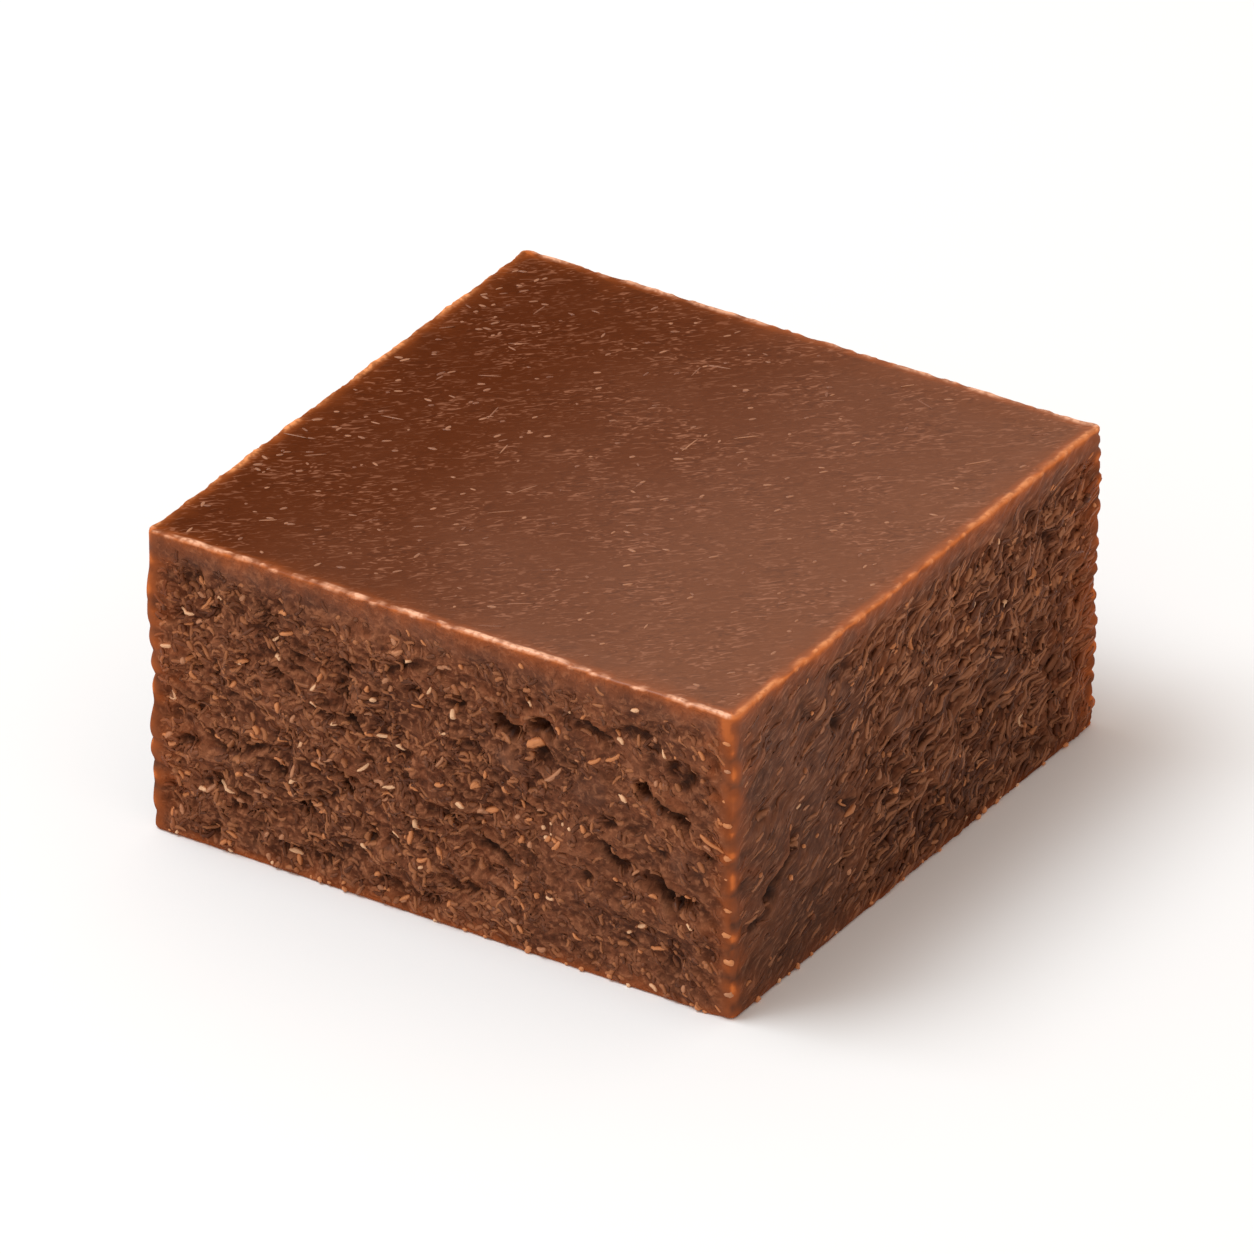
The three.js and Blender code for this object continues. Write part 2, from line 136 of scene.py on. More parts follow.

# %% [markdown]
# ## Cracks, pits and smooth lumps
#
# Where the knife drags, short cracks open and a bit of crumb falls out, and where the fudge was
# creamier a smooth lump stays. These are the marks that make one square differ from the next, so
# they are listed one by one, side by side. A place is given as the distance along the side from
# its left-hand end, seen from outside, and the height. Sculpting by hand would work too, but could
# not be changed by a number later.

# %% Marks of the knife
# side, bends of the crack, width, depth, height of the lip over it
CRACKS = [
    (FRONT, [(23.4, 14.3), (24.2, 14.8), (25.0, 14.5), (25.8, 14.1)], 1.4, 1.2, 0.2),
    (FRONT, [(26.2, 14.8), (26.9, 15.3), (27.8, 14.9)], 1.15, 0.95, 0.2),
    (FRONT, [(23.4, 10.7), (25.2, 9.9), (27.6, 9.4)], 0.6, 0.4, 0.2),
    (FRONT, [(29.9, 9.1), (31.4, 8.7), (32.2, 8.1), (32.9, 7.6)], 1.1, 0.7, 0.2),
    (FRONT, [(34.3, 8.2), (35.2, 7.3), (36.2, 6.6), (37.4, 6.5)], 1.9, 1.15, 0.3),
    (FRONT, [(33.2, 13.6), (34.6, 12.7), (36.0, 12.3), (37.2, 11.7)], 1.35, 0.9, 0.3),
    (FRONT, [(35.4, 14.8), (36.3, 15.6), (37.4, 14.9)], 1.3, 0.8, 0.1),
    (FRONT, [(31.5, 16.6), (33.1, 17.0), (34.8, 16.8)], 0.7, 0.3, 0.1),
    (FRONT, [(12.8, 12.1), (14.0, 11.6), (15.2, 10.7)], 0.8, 0.4, 0.1),
    (FRONT, [(16.2, 15.7), (17.2, 16.2), (18.3, 16.7), (19.7, 17.2)], 0.8, 0.35, 0.1),
    (FRONT, [(29.2, 16.4), (30.6, 16.1), (31.8, 15.4)], 0.95, 0.5, 0.2),
    (FRONT, [(21.8, 6.5), (23.6, 6.3), (25.4, 5.5)], 0.85, 0.5, 0.2),
    (RIGHT, [(3.5, 5.9), (4.6, 6.9), (5.9, 8.1), (7.2, 9.1)], 1.4, 0.95, 0.0),
    (RIGHT, [(1.6, 5.0), (2.6, 5.3), (3.6, 5.9)], 0.9, 0.55, 0.0),
    (RIGHT, [(7.8, 16.9), (8.8, 16.1), (9.8, 16.6)], 0.5, 0.25, 0.0),
    (RIGHT, [(11.2, 8.9), (12.5, 8.0), (13.8, 7.7)], 0.7, 0.4, 0.0),
    (RIGHT, [(31.6, 14.2), (32.3, 13.4), (33.4, 13.1)], 0.8, 0.4, 0.0),
    (RIGHT, [(34.6, 9.9), (35.5, 8.9), (36.7, 8.1)], 0.5, 0.3, 0.0),
    (RIGHT, [(19.6, 5.2), (21.8, 4.9), (23.4, 3.6)], 0.4, 0.2, 0.0),
    (BACK, [(6.4, 6.3), (9.2, 7.8), (11.0, 6.9), (14.2, 7.1)], 0.8, 1.2, 0.3),
    (BACK, [(19.2, 16.6), (22.0, 16.0), (24.8, 14.3)], 0.7, 0.9, 0.2),
    (BACK, [(27.4, 13.8), (30.6, 12.9), (33.0, 11.2)], 0.8, 1.1, 0.3),
    (BACK, [(30.4, 7.4), (33.8, 6.9), (37.0, 5.9)], 0.6, 0.6, 0.2),
    (LEFT, [(6.2, 12.0), (8.6, 12.7), (10.9, 12.3)], 0.7, 0.8, 0.2),
    (LEFT, [(11.6, 11.0), (13.3, 10.1), (14.4, 8.8)], 1.0, 1.3, 0.3),
    (LEFT, [(23.8, 16.0), (27.2, 15.8), (28.8, 13.6), (31.8, 12.6)], 0.8, 1.0, 0.3),
    (LEFT, [(29.6, 6.6), (31.8, 5.2), (34.2, 5.8)], 0.8, 0.9, 0.2),
]

# side, along, up, length, height, tilt, depth
PITS = [
    (FRONT, 36.2, 6.5, 1.9, 1.3, 0.2, 0.6),
    (FRONT, 33.8, 13.3, 1.9, 1.4, -0.3, 0.9),
    (FRONT, 36.4, 14.6, 2.4, 2.0, 0.2, 0.6),
    (FRONT, 13.6, 6.9, 1.4, 1.8, 0.3, 0.6),
    (FRONT, 3.1, 12.2, 2.2, 1.2, -0.8, 0.7),
    (FRONT, 8.8, 13.1, 1.6, 1.2, 0.6, 0.6),
    (FRONT, 2.7, 6.8, 2.0, 1.1, -0.1, 0.6),
    (FRONT, 15.3, 4.4, 1.5, 2.0, 0.4, 0.6),
    (FRONT, 6.3, 4.2, 2.2, 1.2, -0.2, 0.6),
    (FRONT, 30.1, 6.4, 1.4, 1.5, 0.2, 0.5),
    (RIGHT, 11.2, 14.2, 1.7, 1.5, 0.4, 0.7),
    (RIGHT, 3.5, 11.9, 1.4, 1.2, 0.3, 0.5),
    (RIGHT, 12.2, 4.7, 1.2, 2.0, 0.0, 0.5),
    (RIGHT, 35.4, 2.2, 2.0, 1.3, -0.5, 0.6),
    (RIGHT, 25.0, 12.6, 1.6, 1.2, 0.5, 0.5),
    (BACK, 24.9, 11.2, 1.9, 1.3, -0.4, 0.8),
    (BACK, 4.0, 13.6, 2.2, 1.2, 0.5, 0.6),
    (BACK, 15.6, 13.2, 1.5, 1.7, 0.1, 0.5),
    (BACK, 20.9, 3.8, 2.1, 1.2, 0.2, 0.6),
    (LEFT, 6.8, 17.0, 1.5, 1.3, -0.5, 0.7),
    (LEFT, 1.9, 15.2, 1.5, 1.3, 0.3, 0.7),
    (LEFT, 19.3, 8.9, 1.6, 2.3, -0.3, 0.8),
    (LEFT, 23.5, 5.4, 1.2, 1.9, 0.1, 0.6),
    (LEFT, 36.6, 10.4, 2.0, 1.5, 0.5, 0.6),
]

# side, along, up, length, height, tilt, rise
LUMPS = [
    (FRONT, 25.2, 12.6, 4.6, 2.8, -0.2, 0.42),
    (FRONT, 36.8, 9.4, 4.6, 3.4, -0.4, 0.36),
    (FRONT, 30.4, 12.2, 4.4, 3.6, 0.5, 0.26),
    (RIGHT, 4.2, 10.4, 5.4, 3.4, 0.5, 0.18),
    (RIGHT, 8.0, 5.6, 5.6, 2.6, 0.3, 0.2),
    (RIGHT, 18.2, 11.4, 6.4, 2.4, 0.3, 0.26),
    (RIGHT, 29.4, 8.6, 4.8, 3.8, -0.6, 0.28),
    (BACK, 10.6, 9.8, 5.6, 3.2, 0.2, 0.34),
    (BACK, 30.0, 15.2, 4.8, 2.6, -0.4, 0.26),
    (BACK, 27.0, 5.2, 5.6, 3.2, 0.3, 0.28),
    (LEFT, 12.4, 13.4, 4.6, 2.6, -0.3, 0.30),
    (LEFT, 26.4, 11.8, 5.4, 4.0, 0.4, 0.34),
    (LEFT, 35.2, 5.0, 4.6, 3.0, 0.2, 0.28),
]
print(len(CRACKS), "cracks,", len(PITS), "pits,", len(LUMPS), "smooth lumps")

# %% [markdown]
# ## How far each spot stands out
#
# The sides are the flat cut plus a small distance outward at each spot, which is called relief
# here. A crack is deepest midway, its edges wander, and the crumb over it leans out as a lip. A
# pit and a lump are ovals. At the upright corners the knife's drag leaves a row of small teeth.
# Just under the top the skin cut cleanly, so the crumb fades in below it.

# %% Relief of a crack, a pit and a lump
BENDS_A_SPAN = 4

# The edges of a crack wander by up to these distances in mm, in long wobbles and in short ones.
CRACK_SHAKE = 0.3
SHAKE_SIZE = 0.75
CRACK_SHIVER = 0.16
SHIVER_SIZE = 0.4

# A crack narrows to its ends: the lower this power, the fuller it stays. It gapes unevenly, over
# stretches of this size in mm.
END_POWER = 0.55
GAPING_SIZE = 1.1

# The lip over a crack falls away over this distance in mm, and its thin edge over a shorter one.
LIP_TAIL = 1.6
LIP_EDGE = 0.7

# So that no two cracks wander alike, each takes its lumps from another level, this far apart.
OWN_LUMPS = 50.0


def rounded_path(bends):
    """A smooth line through all the bends of a crack."""
    spots = np.array([bends[0], *bends, bends[-1]])
    line = []
    for before, start, end, after in zip(spots, spots[1:], spots[2:], spots[3:]):
        bow = 2 * before - 5 * start + 4 * end - after
        twist = 3 * start - before - 3 * end + after
        for step in range(BENDS_A_SPAN):
            t = step / BENDS_A_SPAN
            line.append(0.5 * (2 * start + (end - before) * t + bow * t**2 + twist * t**3))
    return [*line, spots[-1]]


def nearest_on_crack(path, along, up):
    """Distance to a crack, the share of its length there, and whether the spot is below it."""
    spans = len(path) - 1
    distance = np.full(along.shape, np.inf)
    share = np.zeros(along.shape)
    below = np.zeros(along.shape, bool)
    for span in range(spans):
        start_along, start_up = path[span]
        run_along = path[span + 1][0] - start_along
        run_up = path[span + 1][1] - start_up
        reach = (along - start_along) * run_along + (up - start_up) * run_up
        part = np.clip(reach / (run_along**2 + run_up**2), 0.0, 1.0)
        off_along = along - start_along - part * run_along
        off_up = up - start_up - part * run_up
        here = np.hypot(off_along, off_up)
        nearer = here < distance
        distance = np.where(nearer, here, distance)
        share = np.where(nearer, (span + part) / spans, share)
        below = np.where(nearer, run_along * off_up - run_up * off_along < 0, below)
    return distance, share, below


def crack_relief(crack, along, up):
    """Relief of a crack, how far it gapes open at each spot, and how near its thin lips are."""
    _, bends, width, depth, lip_height = crack
    shaken = [
        place
        + CRACK_SHAKE * lumpiness(along, up, depth * OWN_LUMPS, SHAKE_SIZE, seed)
        + CRACK_SHIVER * lumpiness(along, up, depth * OWN_LUMPS, SHIVER_SIZE, seed + 3)
        for place, seed in ((along, 61), (up, 62))
    ]
    distance, share, below = nearest_on_crack(rounded_path(bends), *shaken)
    uneven = lumpiness(along, up, width * OWN_LUMPS, GAPING_SIZE, 63)
    strength = np.sin(np.pi * share) ** END_POWER * np.clip(0.85 + 0.5 * uneven, 0.25, 1.2)
    opening = 1.0 - smoothstep(0.0, width / 2, distance)
    lip = np.where(below, 0.0, lip_height * np.exp(-distance / LIP_TAIL))
    # gape also sets how much painted shade darkens the inside of the crack.
    gape = strength * (1.0 - smoothstep(0.25 * width, 0.65 * width, distance))
    near_lip = strength * np.exp(-distance / LIP_EDGE) * depth
    return strength * (lip * (1.0 - opening) - depth * opening), gape, near_lip


def oval_share(patch, along, up):
    """1 at the middle of an oval patch and 0 from its rim outward."""
    _, middle_along, middle_up, length, height, tilt, _ = patch
    off_along = along - middle_along
    off_up = up - middle_up
    across = (off_along * math.cos(tilt) + off_up * math.sin(tilt)) / (length / 2)
    upward = (off_up * math.cos(tilt) - off_along * math.sin(tilt)) / (height / 2)
    return 1.0 - smoothstep(0.0, 1.0, np.hypot(across, upward))


def on_side(marks, side):
    """The marks that belong to one side."""
    return [mark for mark in marks if mark[0] == side]


print("front side:", len(on_side(CRACKS, FRONT)), "cracks and", len(on_side(PITS, FRONT)), "pits")

# %% Teeth of the upright corners
# A tip stands out a little. On a torn side, the knife left each tooth of the right-hand corner at
# the end of a slanting ridge, which rises by this many mm for each mm away from the corner.
TIP_RISE = 0.12
RIDGE_HEIGHT = 0.2
RIDGE_REACH = 4.5
RIDGE_SLOPE = 0.95

# The corner between the right-hand side and the back has smaller teeth between the large ones.
HALF_TOOTH_DEPTH = 0.22

# The teeth are unevenly spaced, by up to this much in mm, and change over this height.
TOOTH_SHIFT = 0.5
TOOTH_SHIFT_SIZE = 3.1

# Between these heights the teeth fade away under the skin.
TOOTHLESS = (16.6, 18.4)


def tooth_relief(side, along, up):
    """Relief of the teeth at a side's two corners, and of the ridges that end in them."""
    to_corner = np.minimum(along, SIDE - along)
    corner = np.where(along < SIDE / 2, side, (side + 1) % 4)
    ridged = (along > SIDE / 2) & (side in TORN_SIDES)
    uneven = TOOTH_SHIFT * lumpiness(up, 7.0 * corner, 0.0, TOOTH_SHIFT_SIZE, 73)
    turns = (up + uneven - RIDGE_SLOPE * np.where(ridged, to_corner, 0.0)) / TOOTH_PITCH
    tooth = np.floor(turns).astype(np.int64)
    nick = 1.0 - np.abs(np.cos(np.pi * (turns - tooth)))
    # The nicks between the teeth differ in depth, and get shallower towards the top.
    depth = TOOTH_DEPTH * (0.6 + 0.5 * lattice_value(corner, tooth, 0 * tooth, 5))
    depth = depth * (1.0 - 0.4 * smoothstep(HEIGHT / 3, HEIGHT, up))
    depth = depth * (1.0 - 0.7 * smoothstep(*TOOTHLESS, up))
    half_tooth = HALF_TOOTH_DEPTH * (corner == BACK) * (0.6 - np.abs(np.cos(2.0 * np.pi * turns)))
    worn = WORN_FOOT * (1.0 - smoothstep(0.0, TOOTH_PITCH, up)) ** 2
    at_corner = 1.0 - smoothstep(0.0, TOOTH_REACH, to_corner)
    ridge = RIDGE_HEIGHT * (0.4 - nick) * ridged * smoothstep(0.4, 1.4, to_corner)
    ridge = ridge * (1.0 - smoothstep(1.6, RIDGE_REACH, to_corner))
    below_skin = smoothstep(0.8, 3.0, HEIGHT - up)
    return (TIP_RISE - depth * nick - half_tooth - worn) * at_corner + ridge * below_skin


tooth_at_corner = tooth_relief(FRONT, np.array([SIDE]), np.array([HEIGHT / 2]))
print("relief of the right-hand corner at mid height, mm:", np.round(tooth_at_corner, 2))

# %% [markdown]
# ## The grain of the crumb
#
# Torn fudge is not sandy but stringy: sugar crystals cling together in short curved strands. On
# two sides the strands lie criss-cross, and on the two that the knife was drawn along they were
# all dragged one way, rising towards the back. Stretched lumps give such a grain. The distance
# to the middle value of a lumpy field is small along thin winding lines, so one minus that
# distance makes winding ridges, which is what strands look like. Some parts stayed creamy, such
# as the smooth lumps and one end of each side, and there the grain is faint.

# %% Stringy grain
# The crumb begins at the first of these depths below the top in mm, and is full at the second.
CLEAN_DEPTH = 0.6
CRUMB_DEPTH = 3.4

# Height and size in mm of the crumb's plain lumps, and of the grains on them.
LUMP_HEIGHT = 0.29
LUMP_SIZE = 3.1
GRAIN_HEIGHT = 0.22
GRAIN_SIZE = 1.35

# For each side: the slope of its grain in degrees, how much the strands wind about in mm, and how
# many times shorter the finish draws them than on a dragged side.
GRAIN_SLOPE = {FRONT: -20.0, RIGHT: 28.0, BACK: 22.0, LEFT: -28.0}
GRAIN_WINDING = {FRONT: 0.75, RIGHT: 0.3, BACK: 0.75, LEFT: 0.3}
GRAIN_SHORTNESS = {FRONT: 2.0, RIGHT: 1.0, BACK: 2.0, LEFT: 1.0}
WINDING_SIZE = 1.7

# For each side: where its creamy end begins and is full, along the side, and how smooth it is.
CREAMY_END = {
    FRONT: (20.0, 30.0, 0.5),
    RIGHT: (19.0, 9.0, 0.85),
    BACK: (20.0, 12.0, 0.3),
    LEFT: (22.0, 30.0, 0.4),
}

# How smooth a smooth lump is at its middle.
LUMP_SMOOTHNESS = 0.75

# Within these distances of an upright corner and the foot, in mm, the crumb was pressed flat.
CORNER_CALM = 2.0
FOOT_CALM = 1.6

# Small hollows where crumbs fell out.
POCKET_SIZE = 1.5
POCKET_DEPTH = 0.32

# Length, width and height in mm of the winding ridges, coarse and fine, on the torn sides and on
# the dragged ones. The higher the sharpness, the thinner a ridge is.
TORN_SIZES = [(1.9, 0.8, 0.3), (1.0, 0.56, 0.24)]
DRAGGED_SIZES = [(2.8, 0.9, 0.28), (1.6, 0.5, 0.34)]
RIDGE_SHARPNESS = 2.2


def grain_place(side, along, up):
    """Distances along and across the grain, in mm."""
    winding = GRAIN_WINDING[side]
    wound_along = along + winding * lumpiness(along, up, side * 60.0, WINDING_SIZE, 11)
    wound_up = up + winding * lumpiness(along, up, side * 60.0 + 20.0, WINDING_SIZE, 12)
    slope = math.radians(GRAIN_SLOPE[side])
    lengthwise = wound_along * math.cos(slope) + wound_up * math.sin(slope)
    crosswise = wound_up * math.cos(slope) - wound_along * math.sin(slope)
    return lengthwise, crosswise


def strand_relief(side, along, up):
    """Relief of the winding ridges."""
    lengthwise, crosswise = grain_place(side, along, up)
    total = 0.0
    sizes = TORN_SIZES if side in TORN_SIDES else DRAGGED_SIZES
    for number, (length, width, height) in enumerate(sizes):
        field = lumpiness(lengthwise / length, crosswise / width, side * 9.0, 1.0, 21 + number)
        ridge = 1.0 - np.minimum(1.0, RIDGE_SHARPNESS * np.abs(field))
        total = total + height * (ridge - 0.5)
    return total


def smoothness(side, along, up):
    """1 where the fudge stayed creamy, and 0 where it is all crumb."""
    start, end, share = CREAMY_END[side]
    smooth = share * smoothstep(start, end, along)
    smooth = np.maximum(smooth, 1.0 - smoothstep(CLEAN_DEPTH, CRUMB_DEPTH, HEIGHT - up))
    for lump in on_side(LUMPS, side):
        on_lump = smoothstep(0.05, 0.6, oval_share(lump, along, up))
        smooth = np.maximum(smooth, LUMP_SMOOTHNESS * on_lump)
    return smooth


def side_relief(side, along, x, y, up):
    """How far a spot of a side stands out from the flat cut, in mm."""
    crumb = smoothstep(HEIGHT - CLEAN_DEPTH, HEIGHT - CRUMB_DEPTH, up)
    off_corner = smoothstep(0.3, CORNER_CALM, np.minimum(along, SIDE - along))
    lumps = LUMP_HEIGHT * lumpiness(x, y, up, LUMP_SIZE, 1)
    grains = GRAIN_HEIGHT * lumpiness(x, y, up, GRAIN_SIZE, 2) * (0.3 + 0.7 * off_corner)
    near_foot = smoothstep(-0.2, FOOT_CALM, up)
    outward = crumb * near_foot * (lumps + grains) + tooth_relief(side, along, up)
    for lump in on_side(LUMPS, side):
        outward = outward + lump[-1] * oval_share(lump, along, up)
    for pit in on_side(PITS, side):
        outward = outward - pit[-1] * oval_share(pit, along, up)
    # Ridges and pockets are faint in smooth fudge, at the corners and foot, and in open cracks.
    lively = (1.0 - 0.8 * smoothness(side, along, up)) * off_corner * near_foot
    for crack in on_side(CRACKS, side):
        crack_outward, gape, _ = crack_relief(crack, along, up)
        outward = outward + crack_outward
        lively = lively * (1.0 - 0.85 * gape)
    pockets = smoothstep(0.2, 0.6, lumpiness(along, up, side * 31.0, POCKET_SIZE, 51))
    return outward + lively * (strand_relief(side, along, up) - POCKET_DEPTH * pockets)


def crack_looks(side, along, up):
    """How far cracks gape at each spot of a side, and how near the thin lips of a crack are."""
    gape, near_lip = np.zeros(along.shape), np.zeros(along.shape)
    for crack in on_side(CRACKS, side):
        _, gape_here, lip_here = crack_relief(crack, along, up)
        gape, near_lip = np.maximum(gape, gape_here), np.maximum(near_lip, lip_here)
    return gape, near_lip


print("relief of one spot, mm:", side_relief(FRONT, np.array([12.0]), -8.0, -20.0, np.array([9.0])))

# %% [markdown]
# ## Rows of points round the sides
#
# The sides are one grid that goes all the way round: 800 columns, about 0.2 mm apart, and a row
# every 0.2 mm, with a few rows more in the rounded foot and top edge. That is fine enough for
# single strands to be real shape, and still under 200,000 triangles, which keeps the piece light
# enough to export. Each point also knows which side it is on and how far along.

# %% Outline and rows
COLUMNS_A_SIDE = 200
COLUMNS = 4 * COLUMNS_A_SIDE
ROW_STEP = 0.215
FOOT_STEPS = 5
RIM_STEPS = 4
LEVEL_INSETS = (0.34, 0.44, 0.54)

STRAIGHT = SIDE - 2 * CORNER_RADIUS
QUARTER_ARC = math.pi / 2 * CORNER_RADIUS
GIRTH_A_SIDE = STRAIGHT + QUARTER_ARC


def outline_spots(walked):
    """Spots on the outline for distances walked round it from the middle of the first corner."""
    side = np.floor(walked / GIRTH_A_SIDE).astype(np.int64) % 4
    here = np.mod(walked, GIRTH_A_SIDE) - QUARTER_ARC / 2
    past = np.clip(here - STRAIGHT, 0.0, None) - np.clip(-here, 0.0, None)
    turn = past / CORNER_RADIUS
    straight = np.clip(here, 0.0, STRAIGHT)
    inner = SIDE / 2 - CORNER_RADIUS
    x = straight - inner + CORNER_RADIUS * np.sin(turn)
    y = -inner - CORNER_RADIUS * np.cos(turn)
    out_x, out_y = np.sin(turn), -np.cos(turn)
    cos = np.array([1, 0, -1, 0])[side]
    sin = np.array([0, 1, 0, -1])[side]
    spots = {"side": side, "along": x + SIDE / 2}
    spots["x"], spots["y"] = x * cos - y * sin, x * sin + y * cos
    spots["out_x"], spots["out_y"] = out_x * cos - out_y * sin, out_x * sin + out_y * cos
    return spots


def side_rows():
    """Height, inset and lean of every row, where lean is the angle of the surface to upright."""
    rows = []
    for step in range(FOOT_STEPS + 1):
        angle = math.pi / 2 * step / FOOT_STEPS
        up, inset = [FOOT_RADIUS * (1 - part) for part in (math.cos(angle), math.sin(angle))]
        rows.append((up, inset, angle - math.pi / 2))
    low, high = FOOT_RADIUS, HEIGHT - TOP_EDGE_RADIUS
    steps = round((high - low) / ROW_STEP)
    rows += [(low + (high - low) * step / steps, 0.0, 0.0) for step in range(1, steps)]
    for step in range(RIM_STEPS + 1):
        angle = math.pi / 2 * step / RIM_STEPS
        drawn_in = TOP_EDGE_RADIUS * (1 - math.cos(angle))
        rows.append((HEIGHT - TOP_EDGE_RADIUS * (1 - math.sin(angle)), drawn_in, angle))
    rows += [(HEIGHT, inset, math.pi / 2) for inset in LEVEL_INSETS]
    return np.array(rows)


column_walked = np.arange(COLUMNS) * GIRTH_A_SIDE / COLUMNS_A_SIDE
outline = outline_spots(column_walked)
rows = side_rows()
row_up, row_inset, row_lean = rows.T
# Distance along the skin from the very edge: minus on the side, plus on the top.
row_over = row_up - HEIGHT + row_inset
print("columns:", COLUMNS, "rows:", len(rows))

# %% [markdown]
# ## Beads along the rim
#
# The poured top ends in a fine lip where the knife broke through it, and butter fat drew it into
# small beads of all sizes, about one each millimetre. They are raised a little from the rounded
# top edge. They could be separate little balls, but they are part of the skin, so they are
# swellings of it. Their pale colour is a painted highlight.

# %% Beads on the rim
BEAD_SPACING = 1.1
BEAD_HEIGHT = 0.09
BEAD_WIDTH = 0.21

# A bead strays from its even place by up to this share of the spacing. The next three are the
# least and most of its height as a share of BEAD_HEIGHT, its half length in mm along the rim, and
# its place in mm over the edge.
BEAD_STRAY = 0.48
BEAD_SIZES = (0.45, 1.0)
BEAD_LENGTHS = (0.2, 0.6)
BEAD_PLACES = (-0.06, 0.26)


def by_side(values, side):
    """The value that belongs to the side of each spot."""
    return np.array([values[each] for each in range(4)])[side]


def by_column(values):
    """The value that belongs to the side of each column."""
    return by_side(values, outline["side"])


bead_draw = np.random.default_rng(41)
girth = 4 * GIRTH_A_SIDE
bead_count = round(girth / BEAD_SPACING)
strayed = np.arange(bead_count) + bead_draw.uniform(-BEAD_STRAY, BEAD_STRAY, bead_count)
bead_walked = strayed * girth / bead_count
bead_size, bead_length, bead_over = [
    bead_draw.uniform(*limits, bead_count) for limits in (BEAD_SIZES, BEAD_LENGTHS, BEAD_PLACES)
]

beads = np.zeros((len(rows), COLUMNS))
for walked, size, length, over in zip(bead_walked, bead_size, bead_length, bead_over):
    off = (column_walked - walked + girth / 2) % girth - girth / 2
    off_over = (row_over - over)[:, None]
    apart = np.hypot(off / length, off_over / BEAD_WIDTH)
    beads = np.maximum(beads, size * (1.0 - smoothstep(0.0, 1.0, apart)))

# A thin pale line runs along the rim between the beads, and comes and goes. It is a slight
# swelling, and its paleness is a painted highlight.
RIM_LINE_PLACE = 0.2
RIM_LINE_WIDTH = 0.33
RIM_LINE_SHARE = {FRONT: 0.5, RIGHT: 0.28, BACK: 0.4, LEFT: 0.6}
fading = lumpiness(column_walked, 0.0, 0.0, 2.3, 33) + 1.1 * lumpiness(column_walked, 0.0, 9.0, 0.8, 34)
line_share = by_column(RIM_LINE_SHARE) * np.clip(0.8 + 1.5 * fading, 0.1, 2.0)
off_line = np.abs(row_over - RIM_LINE_PLACE)[:, None]
beads = np.maximum(beads, line_share * (1.0 - smoothstep(0.05, RIM_LINE_WIDTH, off_line)))

# How strong the painted highlight of the beads is on each side.
BEAD_HIGHLIGHT_SHARE = {FRONT: 1.1, RIGHT: 1.2, BACK: 1.0, LEFT: 0.9}
bead_painted_highlight = beads * by_column(BEAD_HIGHLIGHT_SHARE)
print("beads on the rim:", bead_count)

# %% [markdown]
# ## The grid of the sides
#
# Now every point of the grid gets its place: its spot on the outline, moved out by the relief and
# in by the rounding of the foot and the top edge, and the beads swell it a little more.

# %% Places of the side points
relief, smooth, gape, near_lip, lengthwise, crosswise = np.zeros((6, len(rows), COLUMNS))
for side in range(4):
    columns = np.flatnonzero(outline["side"] == side)
    along, up = np.broadcast_arrays(outline["along"][columns][None, :], row_up[:, None])
    x, y = outline["x"][columns][None, :], outline["y"][columns][None, :]
    relief[:, columns] = side_relief(side, along, x, y, up)
    smooth[:, columns] = smoothness(side, along, up)
    gape[:, columns], near_lip[:, columns] = crack_looks(side, along, up)
    lengthwise[:, columns], crosswise[:, columns] = grain_place(side, along, up)
    lengthwise[:, columns] *= GRAIN_SHORTNESS[side]

swell = BEAD_HEIGHT * beads
outward = relief - row_inset[:, None] + swell * np.cos(row_lean)[:, None]
side_points = np.stack(
    [
        outline["x"][None, :] + outline["out_x"][None, :] * outward,
        outline["y"][None, :] + outline["out_y"][None, :] * outward,
        row_up[:, None] + np.maximum(0.0, np.sin(row_lean))[:, None] * swell,
    ],
    axis=-1,
)
print("relief goes from", round(relief.min(), 2), "to", round(relief.max(), 2), "mm")

# %% [markdown]
# ## Hollows and edges, measured once
#
# A finish needs to know where the surface is hollow, where it stands proud, and how near an edge
# is, because the finish paints shade into the hollows, a highlight onto the proud spots and a
# glow near the edges. Blender can work some of that out while it renders, but measuring it on the
# grid is exact, quick, and goes along when the model is exported. A hollow is where the relief
# is lower than its own average over a small patch around it.

# %% Hollows and proud spots
HOLLOW_REACH = 0.8
HOLLOW_DEPTH = 0.3
PROUD_REACH = 0.5
PROUD_HEIGHT = 0.12


def patch_average(field, reach):
    """Average over a soft patch. It runs on round the corner, and stops at the foot and rim."""
    steps = max(1, round(reach / ROW_STEP))
    offsets = np.arange(-2 * steps, 2 * steps + 1)
    weights = np.exp(-((offsets / steps) ** 2))
    weights = weights / weights.sum()
    padded = np.pad(field, ((2 * steps, 2 * steps), (0, 0)), mode="edge")
    shifted = [padded[first:first + len(field)] for first in 2 * steps + offsets]
    tall = sum(weight * part for weight, part in zip(weights, shifted))
    return sum(weight * np.roll(tall, offset, axis=1) for weight, offset in zip(weights, offsets))


# hollow sets painted shade in the finish, and proud a painted highlight.
hollow = np.clip((patch_average(relief, HOLLOW_REACH) - relief) / HOLLOW_DEPTH, 0.0, 1.0)
proud = np.clip((relief - patch_average(relief, PROUD_REACH)) / PROUD_HEIGHT, 0.0, 1.0)
print("hollow share of the sides:", round(float((hollow > 0.3).mean()), 3))

# %% [markdown]
# Light gets through thin fudge, so the corners, the foot, the rim and the lips of the cracks have
# a warm glow, which is painted into the colour. It is strongest on the edge itself and ends
# raggedly. At the corners it sits on the tips of the teeth, and at the rim on the beads.

